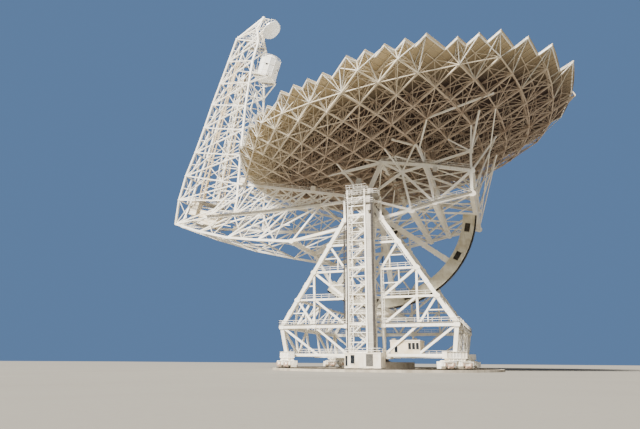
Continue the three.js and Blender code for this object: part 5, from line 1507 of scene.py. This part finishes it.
# Machined and painted bowl: the whitest and smoothest face of the machine
bowl_white = coated("smooth_bowl_enamel", "#FFFFFD", "#FAF6EC", 0.3, blotch=3.0)
painted(["subreflector"], bowl_white)
painted(["tip_frame"], white_paint)
ways = spokes(BOWL_RIBS, AHEAD, FACING.cross(AHEAD))
rim, back = [[on_row(*(BOWL + out * radius - FACING * behind)) for out in ways]
             for radius, behind in (BOWL_RIM, BOWL_BACK)]
apex = on_row(*(BOWL - FACING * BOWL_APEX))
members = [(outer, inner, BACK_RIB) for outer, inner in zip(rim, back)]
members += [(spot, apex, BACK_HOOP) for spot in back[::2]]
members += chain(rim + rim[:1], BACK_HOOP) + chain(back + back[:1], BACK_HOOP)
for side, outer, inner in zip(SIDES, outers, inners):
    tip, front, foot, knee = arm_line(TIP_STRUTS, side)
    members += [(tip, front, TIP_LACING), (tip, foot, TIP_LACING), (inner[9], knee, TIP_LACING)]
    members += laced(outer[8:], inner[8:], 3, TIP_LACING)
    members += railing(arm_line(TOP_FLOOR_EDGE, side), *TOP_FLOOR_RAIL)
bars("subreflector_back_frame", members, white_paint, ON_TIP)
prisms("mast_upper_floors", UPPER_FLOORS, 4, grating, ON_TIP)
prisms("mast_winches", WINCHES, 8, drive_enamel, ON_TIP)

# Studio: a wide matt floor, one broad soft key from behind the camera's left, an even fill, and a
# plain backdrop that only the camera sees.
FLOOR_HALF = 90
KEY_FACING = Vector((0.3, 1, -1))
floor_mesh = bpy.data.meshes.new("studio_floor")
floor_mesh.from_pydata([(x * FLOOR_HALF, y * FLOOR_HALF, 0) for x, y in CORNERS], [], [(0, 1, 2, 3)])
# Seamless painted floor: pale, warm and matt
floor_paint = coated("matt_studio_floor", "#8B877F", "#87837B", 0.9, blotch=20)
floor_mesh.materials.append(floor_paint)
floor = bpy.data.objects.new("studio_floor", floor_mesh)
bpy.context.scene.collection.objects.link(floor)

key = bpy.data.lights.new("soft_key", "SUN")
key.energy = 13.0
key.angle = math.radians(12)
key.color = (1.0, 0.96, 0.88)
key_light = bpy.data.objects.new("soft_key", key)
bpy.context.scene.collection.objects.link(key_light)
key_light.rotation_euler = KEY_FACING.to_track_quat("-Z", "Y").to_euler()

world = bpy.data.worlds.new("studio_light")
bpy.context.scene.world = world
world.use_nodes = True
sky_tree = world.node_tree
fill = sky_tree.nodes["Background"]
fill.inputs["Color"].default_value = colour("#C9D3E2")
fill.inputs["Strength"].default_value = 0.32
wall = add_node(sky_tree, "ShaderNodeBackground", {"Color": colour("#5F7DA8"), "Strength": 1.0})
seen = add_node(sky_tree, "ShaderNodeLightPath").outputs["Is Camera Ray"]
both = add_node(sky_tree, "ShaderNodeMixShader", {0: seen, 1: fill.outputs[0], 2: wall.outputs[0]})
sky_tree.links.new(both.outputs[0], sky_tree.nodes["World Output"].inputs["Surface"])

# Camera: standing on the ground on the near side, at the photograph's angle, with its roll of
# less than half a degree
CAMERA_PLACE = Vector((34.162, -154.393, 2.281))
CAMERA_YAW = math.radians(19.775)
CAMERA_PITCH = math.radians(16.573)
CAMERA_ROLL = math.radians(0.397)
SENSOR_MM = 36
FOCAL_PX = 495.664
IMAGE_WIDTH_PX = 640
ahead = Vector((-math.sin(CAMERA_YAW) * math.cos(CAMERA_PITCH),
                math.cos(CAMERA_YAW) * math.cos(CAMERA_PITCH), math.sin(CAMERA_PITCH)))
level = Vector((math.cos(CAMERA_YAW), math.sin(CAMERA_YAW), 0))
above = level.cross(ahead)
right = level * math.cos(CAMERA_ROLL) + above * math.sin(CAMERA_ROLL)
up = above * math.cos(CAMERA_ROLL) - level * math.sin(CAMERA_ROLL)
lens = bpy.data.cameras.new("photo_camera")
lens.sensor_width = SENSOR_MM
lens.lens = SENSOR_MM * FOCAL_PX / IMAGE_WIDTH_PX
lens.clip_end = 500
camera = bpy.data.objects.new("photo_camera", lens)
bpy.context.scene.collection.objects.link(camera)
turn = Matrix((right, up, -ahead)).transposed().to_4x4()
camera.matrix_world = Matrix.Translation(CAMERA_PLACE * MODEL) @ turn
bpy.context.scene.camera = camera
